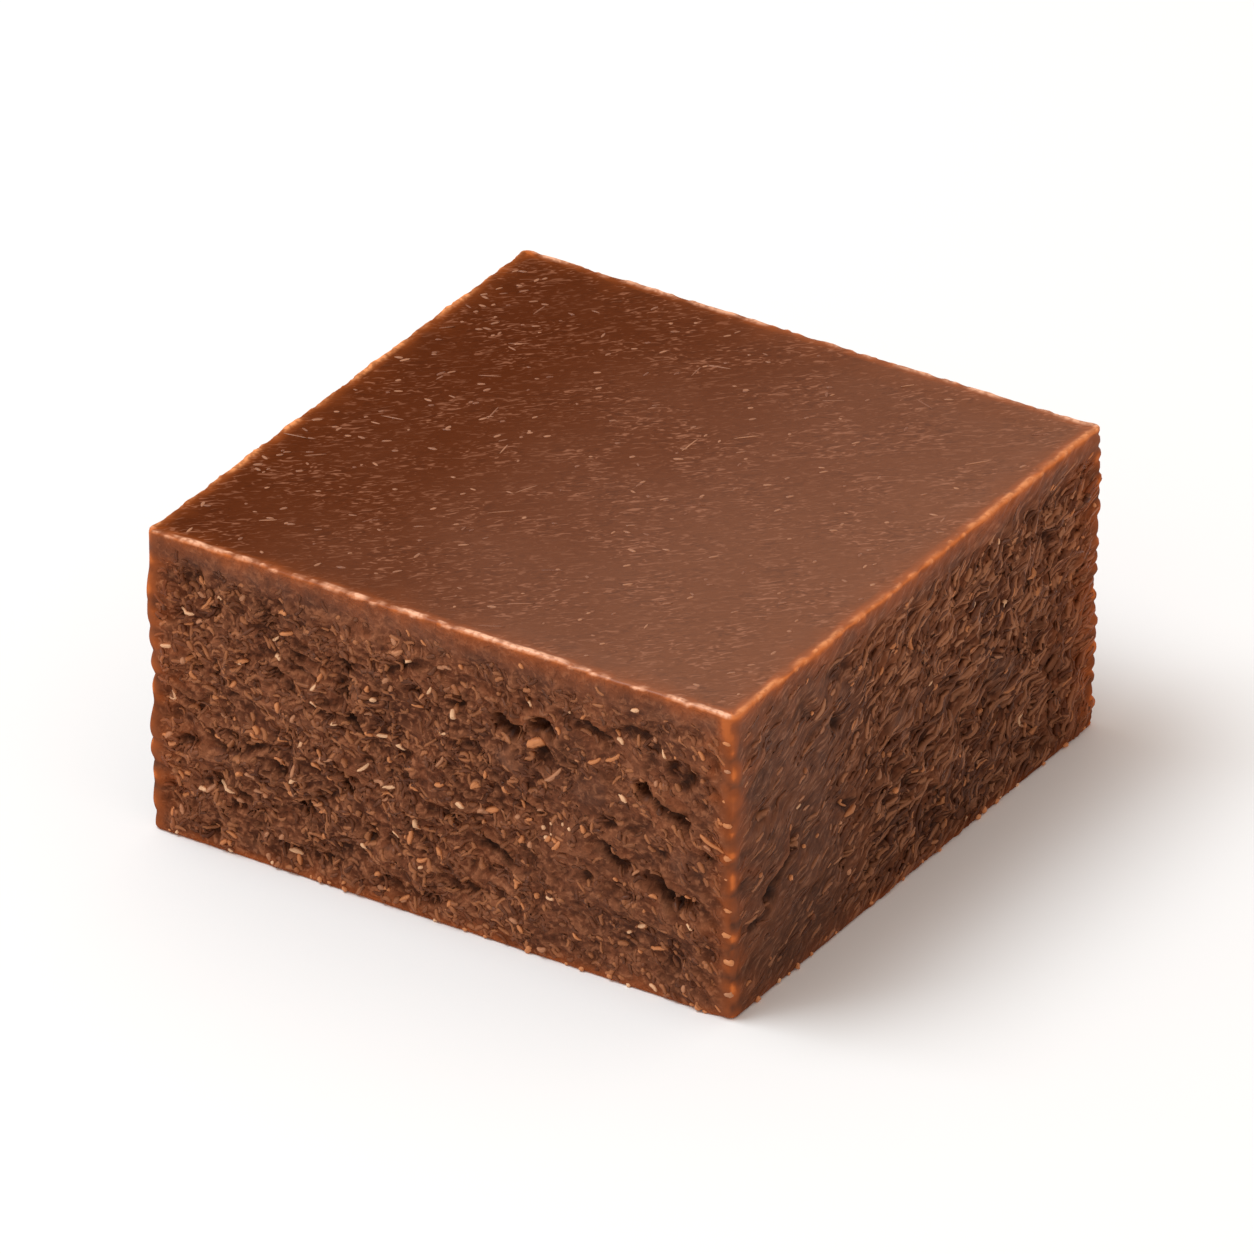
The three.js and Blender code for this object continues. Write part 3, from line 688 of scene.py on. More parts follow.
# %% Glow of the edges
# Reach of the painted warm glow in mm: from each side's left-hand and right-hand corner, from its
# rim, and from the foot.
CORNER_GLOW = {FRONT: (1.15, 0.8), RIGHT: (0.85, 1.9), BACK: (1.1, 0.9), LEFT: (0.8, 0.8)}
RIM_GLOW = {FRONT: 0.6, RIGHT: 0.75, BACK: 0.6, LEFT: 0.6}
RIM_GLOW_SHARE = {FRONT: 0.85, RIGHT: 1.0, BACK: 0.9, LEFT: 0.8}
FOOT_GLOW = 0.36
FOOT_GLOW_SHARE = {FRONT: 0.85, RIGHT: 0.5, BACK: 0.6, LEFT: 0.6}
RAGGED_SIZE = 0.8
FINE_RAGGED_SIZE = 0.45

# How far the rim's painted glow gathers on its beads and leaves the gaps between them dark.
RIM_GATHERED = {FRONT: 0.3, RIGHT: 0.12, BACK: 0.3, LEFT: 0.1}

# Just under the top, the corner between a torn side and a dragged one is thin enough to glow
# amber, and this amber glow is painted into its colour.
AMBER_WIDTH = 1.0
AMBER_HEIGHT = 2.5


def glow(distance, reach, ragged=0.0):
    """1 on an edge, fading inward over an uneven reach."""
    return np.exp(-np.maximum(distance, 0.0) / (reach * (1.0 + 0.6 * ragged)))


side_x, side_y, side_z = np.moveaxis(side_points, -1, 0)
ragged = lumpiness(side_x, side_y, side_z, RAGGED_SIZE, 31)
fine_ragged = lumpiness(side_x, side_y, side_z, FINE_RAGGED_SIZE, 35)

walked_in_side = np.mod(column_walked, GIRTH_A_SIDE)
to_corner = np.minimum(walked_in_side, GIRTH_A_SIDE - walked_in_side)
corner_reach = np.where(walked_in_side < GIRTH_A_SIDE / 2, *by_column(CORNER_GLOW).T)
tooth_here = np.round(row_up / TOOTH_PITCH).astype(np.int64)[:, None]
tip_share = 0.55 + 0.5 * lattice_value(outline["side"], tooth_here, 0, 36)
tooth_turn = 2.0 * np.pi * (row_up[:, None] + 0.3 * ragged) / TOOTH_PITCH
on_tip = 0.6 + 0.5 * tip_share * np.cos(tooth_turn)
corner_edge = glow(to_corner, corner_reach, ragged) * np.clip(on_tip + 0.4 * fine_ragged, 0.0, 1.0)

foot_edge = by_column(FOOT_GLOW_SHARE) * glow(row_up[:, None], FOOT_GLOW, ragged)
rim_edge = by_column(RIM_GLOW_SHARE) * glow(np.abs(row_over)[:, None], by_column(RIM_GLOW), ragged)
gathered = by_column(RIM_GATHERED) * (1.0 - np.minimum(1.0, 1.6 * beads.max(axis=0)))
rim_edge = rim_edge * (1.0 - gathered)

torn_end = np.isin(outline["side"], TORN_SIDES) * (GIRTH_A_SIDE - walked_in_side)
amber_off = np.hypot(torn_end / AMBER_WIDTH, (row_up[:, None] - HEIGHT) / AMBER_HEIGHT)
amber = np.where(torn_end > 0, 0.8 - 0.8 * smoothstep(0.6, 1.4, amber_off), 0.0)
# The lips of the cracks get a painted glow as well, and side_edge holds all the painted glow.
lip_edge = np.clip(0.5 * near_lip * (0.6 + 0.8 * ragged), 0.0, 0.5) * (1.0 - gape)
side_edge = np.max([corner_edge, foot_edge, rim_edge, lip_edge, amber], axis=0)
print("share of the sides that glows:", round(float((side_edge > 0.3).mean()), 3))

# %% [markdown]
# ## The poured top and the underside
#
# The top is the slab's own skin. It dips by a tenth of a millimetre here and there over stretches
# of a centimetre, just enough for the light to slide over it unevenly. It is a square grid, whose
# border takes every second column of the sides. The underside is a coarser flat grid, as it lay
# on the lining of the tin.

# %% Top and underside grids
TOP_CELLS = 100
UNDERSIDE_CELLS = 50
UNDERSIDE_MARGIN = 2.2

# The top is level this far in from the sides, and dips in full from the next distance on, in mm.
LEVEL_MARGIN = 1.2
DIP_START = 2.6
TOP_DIP = 0.14
TOP_SWELL = 11.0


def square_grid(half_width, cells):
    """Places of a square grid's points, and the numbers of its border, anticlockwise."""
    line = np.linspace(-half_width, half_width, cells + 1)
    y, x = np.meshgrid(line, line, indexing="ij")
    steps = np.arange(cells)
    width = cells + 1
    border = np.concatenate([
        steps,
        steps * width + cells,
        cells * width + cells - steps,
        (cells - steps) * width,
    ])
    return x.ravel(), y.ravel(), border


def inset_from_sides(x, y):
    """Distance in from the nearest side."""
    return SIDE / 2 - np.maximum(np.abs(x), np.abs(y))


def top_height(x, y):
    """Height of the poured top."""
    dip = TOP_DIP * (0.5 + 0.5 * lumpiness(x, y, 0.0, TOP_SWELL, 6))
    return HEIGHT - dip * smoothstep(LEVEL_MARGIN, DIP_START, inset_from_sides(x, y))


top_x, top_y, top_border = square_grid(SIDE / 2 - LEVEL_MARGIN, TOP_CELLS)
top_z = top_height(top_x, top_y)
top_points = np.stack([top_x, top_y, top_z], axis=-1)

under_x, under_y, under_border = square_grid(SIDE / 2 - UNDERSIDE_MARGIN, UNDERSIDE_CELLS)
under_points = np.stack([under_x, under_y, 0 * under_x], axis=-1)
print("top dips by up to", round(float(HEIGHT - top_z.min()), 3), "mm")

# %% [markdown]
# ## One closed skin
#
# The grids are joined into a single closed mesh, because the real thing is one piece. Where a
# grid has half as many points as its neighbour, three triangles fill each step between them.

# %% Join the grids
# Distance in mm from the sides of the ring between the sides and the top, and of the one between
# the sides and the underside.
RIM_INSET = 0.86
UNDER_INSET = 1.5


def drawn_in_ring(every, inset, height):
    """Every nth point of the outline, drawn in toward the middle at one height."""
    share = 1.0 - inset / (SIDE / 2)
    x, y = outline["x"][::every] * share, outline["y"][::every] * share
    return np.stack([x, y, np.full(len(x), height)], axis=-1)


def band(low, high):
    """Triangles between two rings, where one may have twice the points of the other."""
    if len(low) == len(high):
        low_next, high_next = np.roll(low, -1), np.roll(high, -1)
        return np.concatenate([
            np.stack([low, low_next, high_next], axis=-1),
            np.stack([low, high_next, high], axis=-1),
        ])
    if len(low) > len(high):
        even, odd, even_next = low[::2], low[1::2], np.roll(low[::2], -1)
        high_next = np.roll(high, -1)
        return np.concatenate([
            np.stack([even, odd, high], axis=-1),
            np.stack([odd, even_next, high_next], axis=-1),
            np.stack([odd, high_next, high], axis=-1),
        ])
    return band(high, low)[:, ::-1]


def grid_triangles(first, cells, facing_up):
    """Two triangles for each cell of a square grid, whose points are numbered on from the first."""
    width = cells + 1
    j, i = np.meshgrid(np.arange(cells), np.arange(cells), indexing="ij")
    low = (first + j * width + i).ravel()
    triangles = np.concatenate([
        np.stack([low, low + 1, low + width + 1], axis=-1),
        np.stack([low, low + width + 1, low + width], axis=-1),
    ])
    return triangles if facing_up else triangles[:, ::-1]


side_count = len(rows) * COLUMNS
rim_ring = drawn_in_ring(1, RIM_INSET, HEIGHT)
under_ring = drawn_in_ring(2, UNDER_INSET, 0.0)
groups = [side_points.reshape(-1, 3), rim_ring, top_points, under_ring, under_points]
firsts = np.cumsum([0] + [len(group) for group in groups])
points = np.concatenate(groups)

numbers = np.arange(side_count).reshape(len(rows), COLUMNS)
rim_numbers = firsts[1] + np.arange(len(rim_ring))
under_numbers = firsts[3] + np.arange(len(under_ring))
triangles = [band(numbers[row], numbers[row + 1]) for row in range(len(rows) - 1)]
triangles.append(band(numbers[-1], rim_numbers))
triangles.append(band(rim_numbers, firsts[2] + top_border))
triangles.append(grid_triangles(firsts[2], TOP_CELLS, True))
triangles.append(band(under_numbers, numbers[0]))
triangles.append(band(firsts[4] + under_border, under_numbers))
triangles.append(grid_triangles(firsts[4], UNDERSIDE_CELLS, False))
triangles = np.concatenate(triangles)

middle = (side_points.reshape(-1, 3).min(axis=0) + side_points.reshape(-1, 3).max(axis=0)) / 2
shift = np.array([-middle[0], -middle[1], 0.0])
points = points + shift
print("points:", len(points), "triangles:", len(triangles))

# %% [markdown]
# ## From numbers to a mesh
#
# A mesh made from arrays of numbers is quick and repeatable. Each measured field goes along as an
# attribute of the points, which the finish can read by name.

# %% Make the fudge
def make_piece(name, places, faces, fields):
    """A smooth mesh object from places in mm, with named numbers at its points."""
    mesh = bpy.data.meshes.new(name)
    mesh.from_pydata((places * MM).tolist(), [], faces.tolist())
    mesh.polygons.foreach_set("use_smooth", np.ones(len(faces), bool))
    for field, values in fields.items():
        kind = "FLOAT_VECTOR" if np.ndim(values) == 2 else "FLOAT"
        attribute = mesh.attributes.new(field, kind, "POINT")
        data = np.ascontiguousarray(values, dtype=np.float32).ravel()
        attribute.data.foreach_set("vector" if kind == "FLOAT_VECTOR" else "value", data)
    mesh.update()
    piece = bpy.data.objects.new(name, mesh)
    bpy.context.scene.collection.objects.link(piece)
    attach(piece, "root")
    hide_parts("fudge_piece")
    return piece


def over_all(sides, elsewhere=(0.0, 0.0, 0.0, 0.0)):
    """A field over the whole skin: its values on the sides, then those of each other group."""
    parts = [np.broadcast_to(sides, relief.shape).ravel()]
    parts += [np.broadcast_to(value, len(group)) for group, value in zip(groups[1:], elsewhere)]
    return np.concatenate(parts).astype(float)


# The painted glow of the rim reaches a little way onto the top.
TOP_GLOW = 0.7
TOP_GLOW_SHARE = 0.35
TOP_RAGGED_SIZE = 1.3


def top_glow(x, y, inset):
    """The painted warm glow at spots of the top."""
    return TOP_GLOW_SHARE * glow(inset, TOP_GLOW, lumpiness(x, y, 0.0, TOP_RAGGED_SIZE, 32))


top_edge = top_glow(top_x, top_y, inset_from_sides(top_x, top_y))
ring_edge = top_glow(rim_ring[:, 0], rim_ring[:, 1], RIM_INSET)
dragged = np.isin(outline["side"], DRAGGED_SIDES).astype(float)
fudge_fields = {
    # hollow and gape steer painted shade, and proud a painted highlight.
    "hollow": over_all(hollow),
    "proud": over_all(proud),
    "gape": over_all(gape),
    # edge steers the painted glow, and bead the painted highlight of the beads.
    "edge": over_all(side_edge, (ring_edge, top_edge, 0.3, 0.0)),
    "bead": over_all(bead_painted_highlight),
    "smooth": over_all(smooth, (1.0, 1.0, 0.5, 0.5)),
    # low is the share of painted shade towards the foot of a dragged side.
    "low": over_all((1.0 - row_up / HEIGHT)[:, None] * dragged, (0.0, 0.0, 0.5, 0.5)),
    "dragged_side": over_all(dragged, (0.0, 0.0, 0.5, 0.5)),
    "seam": over_all(1.0 - smoothstep(0.3, 0.9, to_corner)),
    "is_top": over_all(smoothstep(0.2, 1.3, row_lean)[:, None], (1.0, 1.0, 0.0, 0.0)),
    "grain_way": np.stack([
        over_all(lengthwise, (0.0, 0.0, under_ring[:, 0], under_x)),
        over_all(crosswise, (0.0, 0.0, under_ring[:, 1], under_y)),
        over_all(outline["side"] * 30.0, (0.0, 0.0, 150.0, 150.0)),
    ], axis=-1),
}
fudge = make_piece("fudge", points, triangles, fudge_fields)
print("fudge:", len(fudge.data.polygons), "triangles")

# %% [markdown]
# ## Loose strands of crumb
#
# The most lively part of a torn side is the thousands of short strands that stand off it, each
# catching the light along its back. They are finer than the grid, so they are meshes of their
# own: a curved sliver of fudge, pointed at both ends and half sunk in the side. Those of the torn
# sides are joined in one object and the dragged ones in another. Such an object exports as it is,
# unlike particles or instances.

# %% Shape and direction of a strand
RINGS = 5
AROUND = 4

# On a torn side a strand lies at any angle in this range of degrees. Between these distances
# along the side more and more are swept down to the corner, and past the second all are.
CRISS_CROSS = (-90.0, 60.0)
SWEPT_FROM = (32.0, 37.0)
SWEPT_SLOPE = -48.0
SWEPT_STRAY = 10.0

# On a dragged side a strand rises by this many degrees and strays by some, more on the left.
# Between these distances along the side a net begins: the strands turn further, and a few cross
# them. The back and the left are mirrored.
DRAGGED_SLOPE = 26.0
RIGHT_STRAY = 4.0
LEFT_STRAY = 15.0
NET_FROM = (19.0, 31.0)
NET_TURN = 8.0
CROSSING_SHARE = 0.08
CROSSING_TURN = (-60.0, -20.0)

# Neighbouring dragged strands turn together by up to this many degrees, over patches of some mm.
FLOW_TURN = 22.0
FLOW_SIZE = 3.0


def sliver_triangles(rings, around):
    """Triangles of a closed sliver: a tip, some rings of points, and a tip."""
    faces = []
    tip_start, tip_end = 0, 1 + rings * around
    for step in range(around):
        after = (step + 1) % around
        last = 1 + (rings - 1) * around
        faces += [(tip_start, 1 + after, 1 + step), (tip_end, last + step, last + after)]
        for ring in range(rings - 1):
            low, high = 1 + ring * around, 1 + (ring + 1) * around
            faces.append((low + step, low + after, high + after))
            faces.append((low + step, high + after, high + step))
    return np.array(faces)


def strand_slopes(side, along, up, draw):
    """The direction of each strand, in radians: criss-cross on two sides, dragged on two."""
    count = len(along)
    criss_cross = draw.uniform(*CRISS_CROSS, count)
    swept = SWEPT_SLOPE + draw.normal(0.0, SWEPT_STRAY, count)
    by_the_corner = smoothstep(*SWEPT_FROM, along) > draw.uniform(0.0, 1.0, count)
    torn = np.where(by_the_corner, swept, criss_cross)
    net = smoothstep(*NET_FROM, along)
    crosses = draw.uniform(0.0, 1.0, count) < CROSSING_SHARE * net
    crossing = np.where(crosses, draw.uniform(*CROSSING_TURN, count), 0.0)
    flow = FLOW_TURN * lumpiness(along, up, side * 23.0, FLOW_SIZE, 72)
    stray = draw.normal(0.0, 1.0, count) * np.where(side == LEFT, LEFT_STRAY, RIGHT_STRAY)
    dragged = DRAGGED_SLOPE + stray + flow + NET_TURN * net + crossing
    slope = np.select([side == FRONT, side == RIGHT, side == BACK], [torn, dragged, -torn], -dragged)
    return np.radians(slope)


SLIVER = sliver_triangles(RINGS, AROUND)
print("triangles in one strand:", len(SLIVER))

# %% [markdown]
# The strands are drawn at random spots, and fewer are kept where the fudge is smooth, in some
# patches of the crumb, and none in an open crack. Each gets its own direction, length, width,
# height, bend and tint. On the dragged sides they are longer and straighter. The tint goes from
# dark cocoa to sugar and butter, which show up tan and orange, and the palest are partly a
# painted glint. Those pale bits are drawn apart, because they are shorter and plumper than the
# plain strands.

# %% Draw the strands
# For each lot: seed, sides, number, half lengths, half widths and heights in mm, how much the
# strands bend in radians, and tints. Each lot of plain strands is followed by its pale bits.
STRAND_LOTS = [
    (8, TORN_SIDES, 3900, (0.2, 0.58), (0.1, 0.19), (0.06, 0.17), 1.7, (0.0, 0.72)),
    (9, TORN_SIDES, 360, (0.19, 0.44), (0.12, 0.21), (0.14, 0.25), 1.3, (0.74, 0.965)),
    (10, DRAGGED_SIDES, 4100, (0.4, 1.0), (0.1, 0.19), (0.04, 0.12), 0.45, (0.0, 0.72)),
    (11, DRAGGED_SIDES, 330, (0.2, 0.5), (0.08, 0.14), (0.08, 0.16), 0.6, (0.72, 0.93)),
]
TRIES_EACH = 5
SIDE_MARGIN = 0.9
RIM_MARGIN = 0.9
FOOT_MARGIN = 0.3

# Patches of this size in mm hold fewer strands.
PATCH_SIZE = 2.0
PATCH_SHARE = 0.45


def draw_strands(seed, sides, count, lengths, widths, heights, turn, tints):
    """Side, place, direction and size of many strands: lengths and widths are half ones."""
    draw = np.random.default_rng(seed)
    tries = TRIES_EACH * count
    side = draw.choice(sides, tries)
    along = draw.uniform(SIDE_MARGIN, SIDE - SIDE_MARGIN, tries)
    up = draw.uniform(FOOT_MARGIN, HEIGHT - RIM_MARGIN, tries)
    smooth_here, gape_here = np.zeros(tries), np.zeros(tries)
    for each in sides:
        there = side == each
        smooth_here[there] = smoothness(each, along[there], up[there])
        gape_here[there] = crack_looks(each, along[there], up[there])[0]
    under_skin = 1.0 - smoothstep(0.9, 2.8, HEIGHT - up)
    calm_patch = PATCH_SHARE * smoothstep(-0.1, 0.3, lumpiness(along, up, side * 17.0, PATCH_SIZE, 71))
    # The chance that a spot stays bare.
    bare = np.max([0.04 + 0.94 * smooth_here, 1.2 * gape_here, under_skin, calm_patch], axis=0)
    kept = np.flatnonzero(draw.uniform(0.0, 1.0, tries) > bare)[:count]
    side, along, up, creamy = side[kept], along[kept], up[kept], smooth_here[kept]
    count = len(kept)
    # Strands are shorter and lower where the fudge is creamy, and lower near a corner.
    by_corner = smoothstep(0.5, 3.0, np.minimum(along, SIDE - along))
    return {
        "side": side,
        "along": along,
        "up": up,
        "slope": strand_slopes(side, along, up, draw),
        "half_length": draw.uniform(*lengths, count) * (1.0 - 0.3 * creamy),
        "half_width": draw.uniform(*widths, count),
        "height": draw.uniform(*heights, count) * (1.0 - 0.6 * creamy) * (0.35 + 0.65 * by_corner),
        "turn": draw.normal(0.0, turn, count),
        "tint": draw.uniform(*tints, count),
    }


print("strands to draw:", sum(lot[2] for lot in STRAND_LOTS))

# %% [markdown]
# Some bits are so plump or pale that a look at the piece picks them out at once. Those are listed
# one by one, and a random generator has no say in them.

# %% Listed bits
# Tints of the pale bits: milky, buttery and sugary. Their paleness is partly a painted glint, and that of
# the milky ones partly a painted sheen.
MILKY_AND_PAINTED_SHEEN, BUTTERY_AND_PAINTED_GLINT, SUGARY_AND_PAINTED_GLINT = 0.75, 0.86, 0.97
BIT_TURN = 0.8
BIT_SLIMNESS = 0.8
# side, along, up, slope in degrees, half length, half width, height, tint
LISTED_BITS = [
    (RIGHT, 12.9, 7.4, 12.0, 0.62, 0.34, 0.3, BUTTERY_AND_PAINTED_GLINT),
    (RIGHT, 12.1, 8.3, -48.0, 0.62, 0.13, 0.2, BUTTERY_AND_PAINTED_GLINT),
    (RIGHT, 32.6, 13.6, 24.0, 0.6, 0.2, 0.25, BUTTERY_AND_PAINTED_GLINT),
    (RIGHT, 9.3, 16.0, 42.0, 0.8, 0.14, 0.2, MILKY_AND_PAINTED_SHEEN),
    (RIGHT, 26.6, 10.8, 10.0, 0.5, 0.16, 0.2, MILKY_AND_PAINTED_SHEEN),
    (FRONT, 26.6, 14.1, 20.0, 0.62, 0.5, 0.4, BUTTERY_AND_PAINTED_GLINT),
    (FRONT, 31.8, 14.7, 35.0, 0.6, 0.2, 0.25, BUTTERY_AND_PAINTED_GLINT),
    (FRONT, 30.6, 14.2, 30.0, 0.5, 0.16, 0.2, BUTTERY_AND_PAINTED_GLINT),
    (FRONT, 27.9, 12.4, 45.0, 0.8, 0.2, 0.2, MILKY_AND_PAINTED_SHEEN),
    (FRONT, 38.4, 11.1, -24.0, 1.0, 0.16, 0.22, BUTTERY_AND_PAINTED_GLINT),
    (FRONT, 33.4, 18.5, 20.0, 0.3, 0.22, 0.16, SUGARY_AND_PAINTED_GLINT),
    (FRONT, 33.7, 4.2, 30.0, 0.34, 0.24, 0.18, SUGARY_AND_PAINTED_GLINT),
    (FRONT, 2.7, 15.3, -10.0, 0.55, 0.13, 0.2, SUGARY_AND_PAINTED_GLINT),
    (FRONT, 3.9, 16.1, 60.0, 0.5, 0.15, 0.2, BUTTERY_AND_PAINTED_GLINT),
    (FRONT, 3.5, 14.9, 20.0, 0.3, 0.2, 0.2, MILKY_AND_PAINTED_SHEEN),
    (FRONT, 1.4, 12.8, 10.0, 0.4, 0.22, 0.2, SUGARY_AND_PAINTED_GLINT),
    (FRONT, 9.6, 16.0, 20.0, 0.5, 0.22, 0.22, BUTTERY_AND_PAINTED_GLINT),
    (FRONT, 8.8, 15.4, 40.0, 0.34, 0.14, 0.18, SUGARY_AND_PAINTED_GLINT),
    (FRONT, 11.9, 13.8, 58.0, 0.5, 0.16, 0.22, BUTTERY_AND_PAINTED_GLINT),
    (FRONT, 11.5, 13.1, 50.0, 0.28, 0.18, 0.24, SUGARY_AND_PAINTED_GLINT),
    (FRONT, 18.0, 16.9, 30.0, 0.36, 0.22, 0.22, SUGARY_AND_PAINTED_GLINT),
    (FRONT, 19.4, 15.3, 60.0, 0.38, 0.14, 0.2, SUGARY_AND_PAINTED_GLINT),
    (FRONT, 14.7, 8.6, 45.0, 0.5, 0.18, 0.22, SUGARY_AND_PAINTED_GLINT),
    (FRONT, 16.5, 7.9, 10.0, 0.42, 0.2, 0.22, SUGARY_AND_PAINTED_GLINT),
    (FRONT, 4.5, 7.4, 0.0, 0.28, 0.22, 0.2, BUTTERY_AND_PAINTED_GLINT),
    (FRONT, 1.6, 9.2, 20.0, 0.36, 0.15, 0.2, SUGARY_AND_PAINTED_GLINT),
    (FRONT, 12.0, 8.3, -60.0, 0.4, 0.15, 0.2, MILKY_AND_PAINTED_SHEEN),
    (FRONT, 9.9, 5.3, 40.0, 0.4, 0.3, 0.2, MILKY_AND_PAINTED_SHEEN),
    (FRONT, 5.2, 4.2, -20.0, 0.7, 0.18, 0.24, SUGARY_AND_PAINTED_GLINT),
    (FRONT, 27.6, 4.2, 10.0, 0.34, 0.24, 0.22, SUGARY_AND_PAINTED_GLINT),
    (FRONT, 34.8, 3.0, 15.0, 0.6, 0.2, 0.22, BUTTERY_AND_PAINTED_GLINT),
    (BACK, 14.2, 11.4, 30.0, 0.6, 0.26, 0.3, BUTTERY_AND_PAINTED_GLINT),
    (BACK, 27.7, 8.3, -35.0, 0.6, 0.2, 0.24, SUGARY_AND_PAINTED_GLINT),
    (LEFT, 21.8, 12.2, -20.0, 0.6, 0.28, 0.3, BUTTERY_AND_PAINTED_GLINT),
]


def listed_bits(sides):
    """The listed bits of the given sides, in the form that drawn strands have."""
    names = ("side", "along", "up", "slope", "half_length", "half_width", "height", "tint")
    lot = dict(zip(names, np.array([bit for bit in LISTED_BITS if bit[0] in sides]).T))
    lot["side"] = lot["side"].astype(int)
    lot["slope"] = np.radians(lot["slope"])
    lot["half_width"] = BIT_SLIMNESS * lot["half_width"]
    lot["turn"] = np.full(len(lot["side"]), BIT_TURN)
    return lot


def all_strands(sides):
    """The drawn strands and the listed bits of the given sides."""
    lots = [draw_strands(*lot) for lot in STRAND_LOTS if lot[1] == sides] + [listed_bits(sides)]
    return {name: np.concatenate([lot[name] for lot in lots]) for name in lots[0]}


torn_strands = all_strands(TORN_SIDES)
dragged_strands = all_strands(DRAGGED_SIDES)
print("strands:", len(torn_strands["side"]), "torn,", len(dragged_strands["side"]), "dragged")

# %% [markdown]
# Each strand is bent into an arc, and every point of it is set on the relief beneath it, so that
# it follows the side into hollows and over lumps.

# %% Make the strands
# Places of the tips and rings from one end of a strand to the other, and how thick each ring is.
STATIONS = np.array([-1.0, -0.82, -0.42, 0.0, 0.42, 0.82, 1.0])
GIRTHS = np.array([0.66, 0.95, 1.0, 0.95, 0.66])

# The four corners of a ring are one edge, the back, the other edge, and the sunken belly. The back
# gets the most painted highlight, and the belly and the tips painted shade.
RING_ACROSS = np.array([-1.0, 0.0, 1.0, 0.0])
RING_LIFT = np.array([0.0, 1.0, 0.0, -1.0])
RING_PAINTED_LIGHT = [0.25, 1.0, 0.25, 0.0]
TIP_PAINTED_LIGHT = 0.1
TIP_DEPTH = -0.04

# Share of the foot's painted warm glow that the strands on it have.
STRAND_FOOT_SHARE = 0.6


def place_on_sides(side, along, up, above):
    """Places in mm of loose spots that stand the given height above the relief of the sides."""
    inner = SIDE / 2 - CORNER_RADIUS
    off = along - SIDE / 2
    turn = np.arcsin(np.clip((np.abs(off) - inner) / CORNER_RADIUS, 0.0, 0.999)) * np.sign(off)
    walked = side * GIRTH_A_SIDE + QUARTER_ARC / 2 + np.clip(off, -inner, inner) + inner
    spots = outline_spots(walked + turn * CORNER_RADIUS)
    out = np.zeros(along.shape)
    for each in range(4):
        there = side == each
        out[there] = side_relief(each, along[there], spots["x"][there], spots["y"][there], up[there])
    low = np.clip(1.0 - up / FOOT_RADIUS, 0.0, 1.0)
    high = np.clip(1.0 - (HEIGHT - up) / TOP_EDGE_RADIUS, 0.0, 1.0)
    inset = FOOT_RADIUS * (1 - np.sqrt(1 - low**2)) + TOP_EDGE_RADIUS * (1 - np.sqrt(1 - high**2))
    out = out + above - inset
    x, y = spots["x"] + spots["out_x"] * out, spots["y"] + spots["out_y"] * out
    return np.stack([x, y, up], axis=-1) + shift


def joined(pattern, count, points_each):
    """The triangles of many like shapes, numbered on from one shape to the next."""
    firsts = np.arange(count) * points_each
    return (pattern[None, :, :] + firsts[:, None, None]).reshape(-1, 3)


def make_strands(name, strands):
    """One object of many strands, each an arc laid on the relief."""
    count = len(strands["side"])
    slope = strands["slope"][:, None]
    bent = strands["turn"][:, None] / 2 * STATIONS
    reach = strands["half_length"][:, None] * STATIONS
    run = reach * np.sinc(bent / math.pi)
    bow = reach * np.sin(bent / 2) * np.sinc(bent / 2 / math.pi)
    spine_along = strands["along"][:, None] + run * np.cos(slope) - bow * np.sin(slope)
    spine_up = strands["up"][:, None] + run * np.sin(slope) + bow * np.cos(slope)
    way = (slope + bent)[:, 1:-1, None]
    across = strands["half_width"][:, None, None] * GIRTHS[:, None] * RING_ACROSS
    ring_along = spine_along[:, 1:-1, None] - np.sin(way) * across
    ring_up = spine_up[:, 1:-1, None] + np.cos(way) * across
    ring_above = strands["height"][:, None, None] * GIRTHS[:, None] * RING_LIFT
    tip = np.full((count, 1), TIP_DEPTH)
    along, up, above = [
        np.concatenate([start, ring.reshape(count, -1), end], axis=1)
        for start, ring, end in (
            (spine_along[:, :1], ring_along, spine_along[:, -1:]),
            (spine_up[:, :1], ring_up, spine_up[:, -1:]),
            (tip, ring_above, tip),
        )
    ]
    points_each = along.shape[1]
    side = np.repeat(strands["side"], points_each)
    along = np.clip(along, 0.0, SIDE).ravel()
    up = np.clip(up, 0.02, HEIGHT - 0.02).ravel()
    is_dragged = np.isin(side, DRAGGED_SIDES).astype(float)
    left_reach, right_reach = by_side(CORNER_GLOW, side).T
    at_corners = np.maximum(glow(along, left_reach), glow(SIDE - along, right_reach))
    back = np.concatenate([[TIP_PAINTED_LIGHT], np.tile(RING_PAINTED_LIGHT, RINGS), [TIP_PAINTED_LIGHT]])
    fields = {
        "tint": np.repeat(strands["tint"], points_each),
        # back steers a painted highlight along a strand's back, and painted shade on its belly and tips.
        "back": np.tile(back, count),
        # edge steers the painted glow of the corners and the foot.
        "edge": np.maximum(at_corners, STRAND_FOOT_SHARE * glow(up, FOOT_GLOW)),
        # low is the share of painted shade towards the foot of a dragged side.
        "low": (1.0 - up / HEIGHT) * is_dragged,
        "dragged_side": is_dragged,
    }
    places = place_on_sides(side, along, up, above.ravel())
    return make_piece(name, places, joined(SLIVER, count, points_each), fields)


torn_piece = make_strands("fudge_strands", torn_strands)
dragged_piece = make_strands("fudge_drags", dragged_strands)
print("strand triangles:", len(torn_piece.data.polygons), "and", len(dragged_piece.data.polygons))

# %% [markdown]
# ## Crumbs and sugar specks
#
# Little crumbs cling along the foot, on the tips of the corners' teeth and here and there on the
# cut sides. They are round and knobbly, so each is a small ball with its points pushed in and out
# at random, half sunk in what it clings to. Tiny flat crystals of sugar lie on the poured top,
# most of them towards its left, among a few longer scratches.

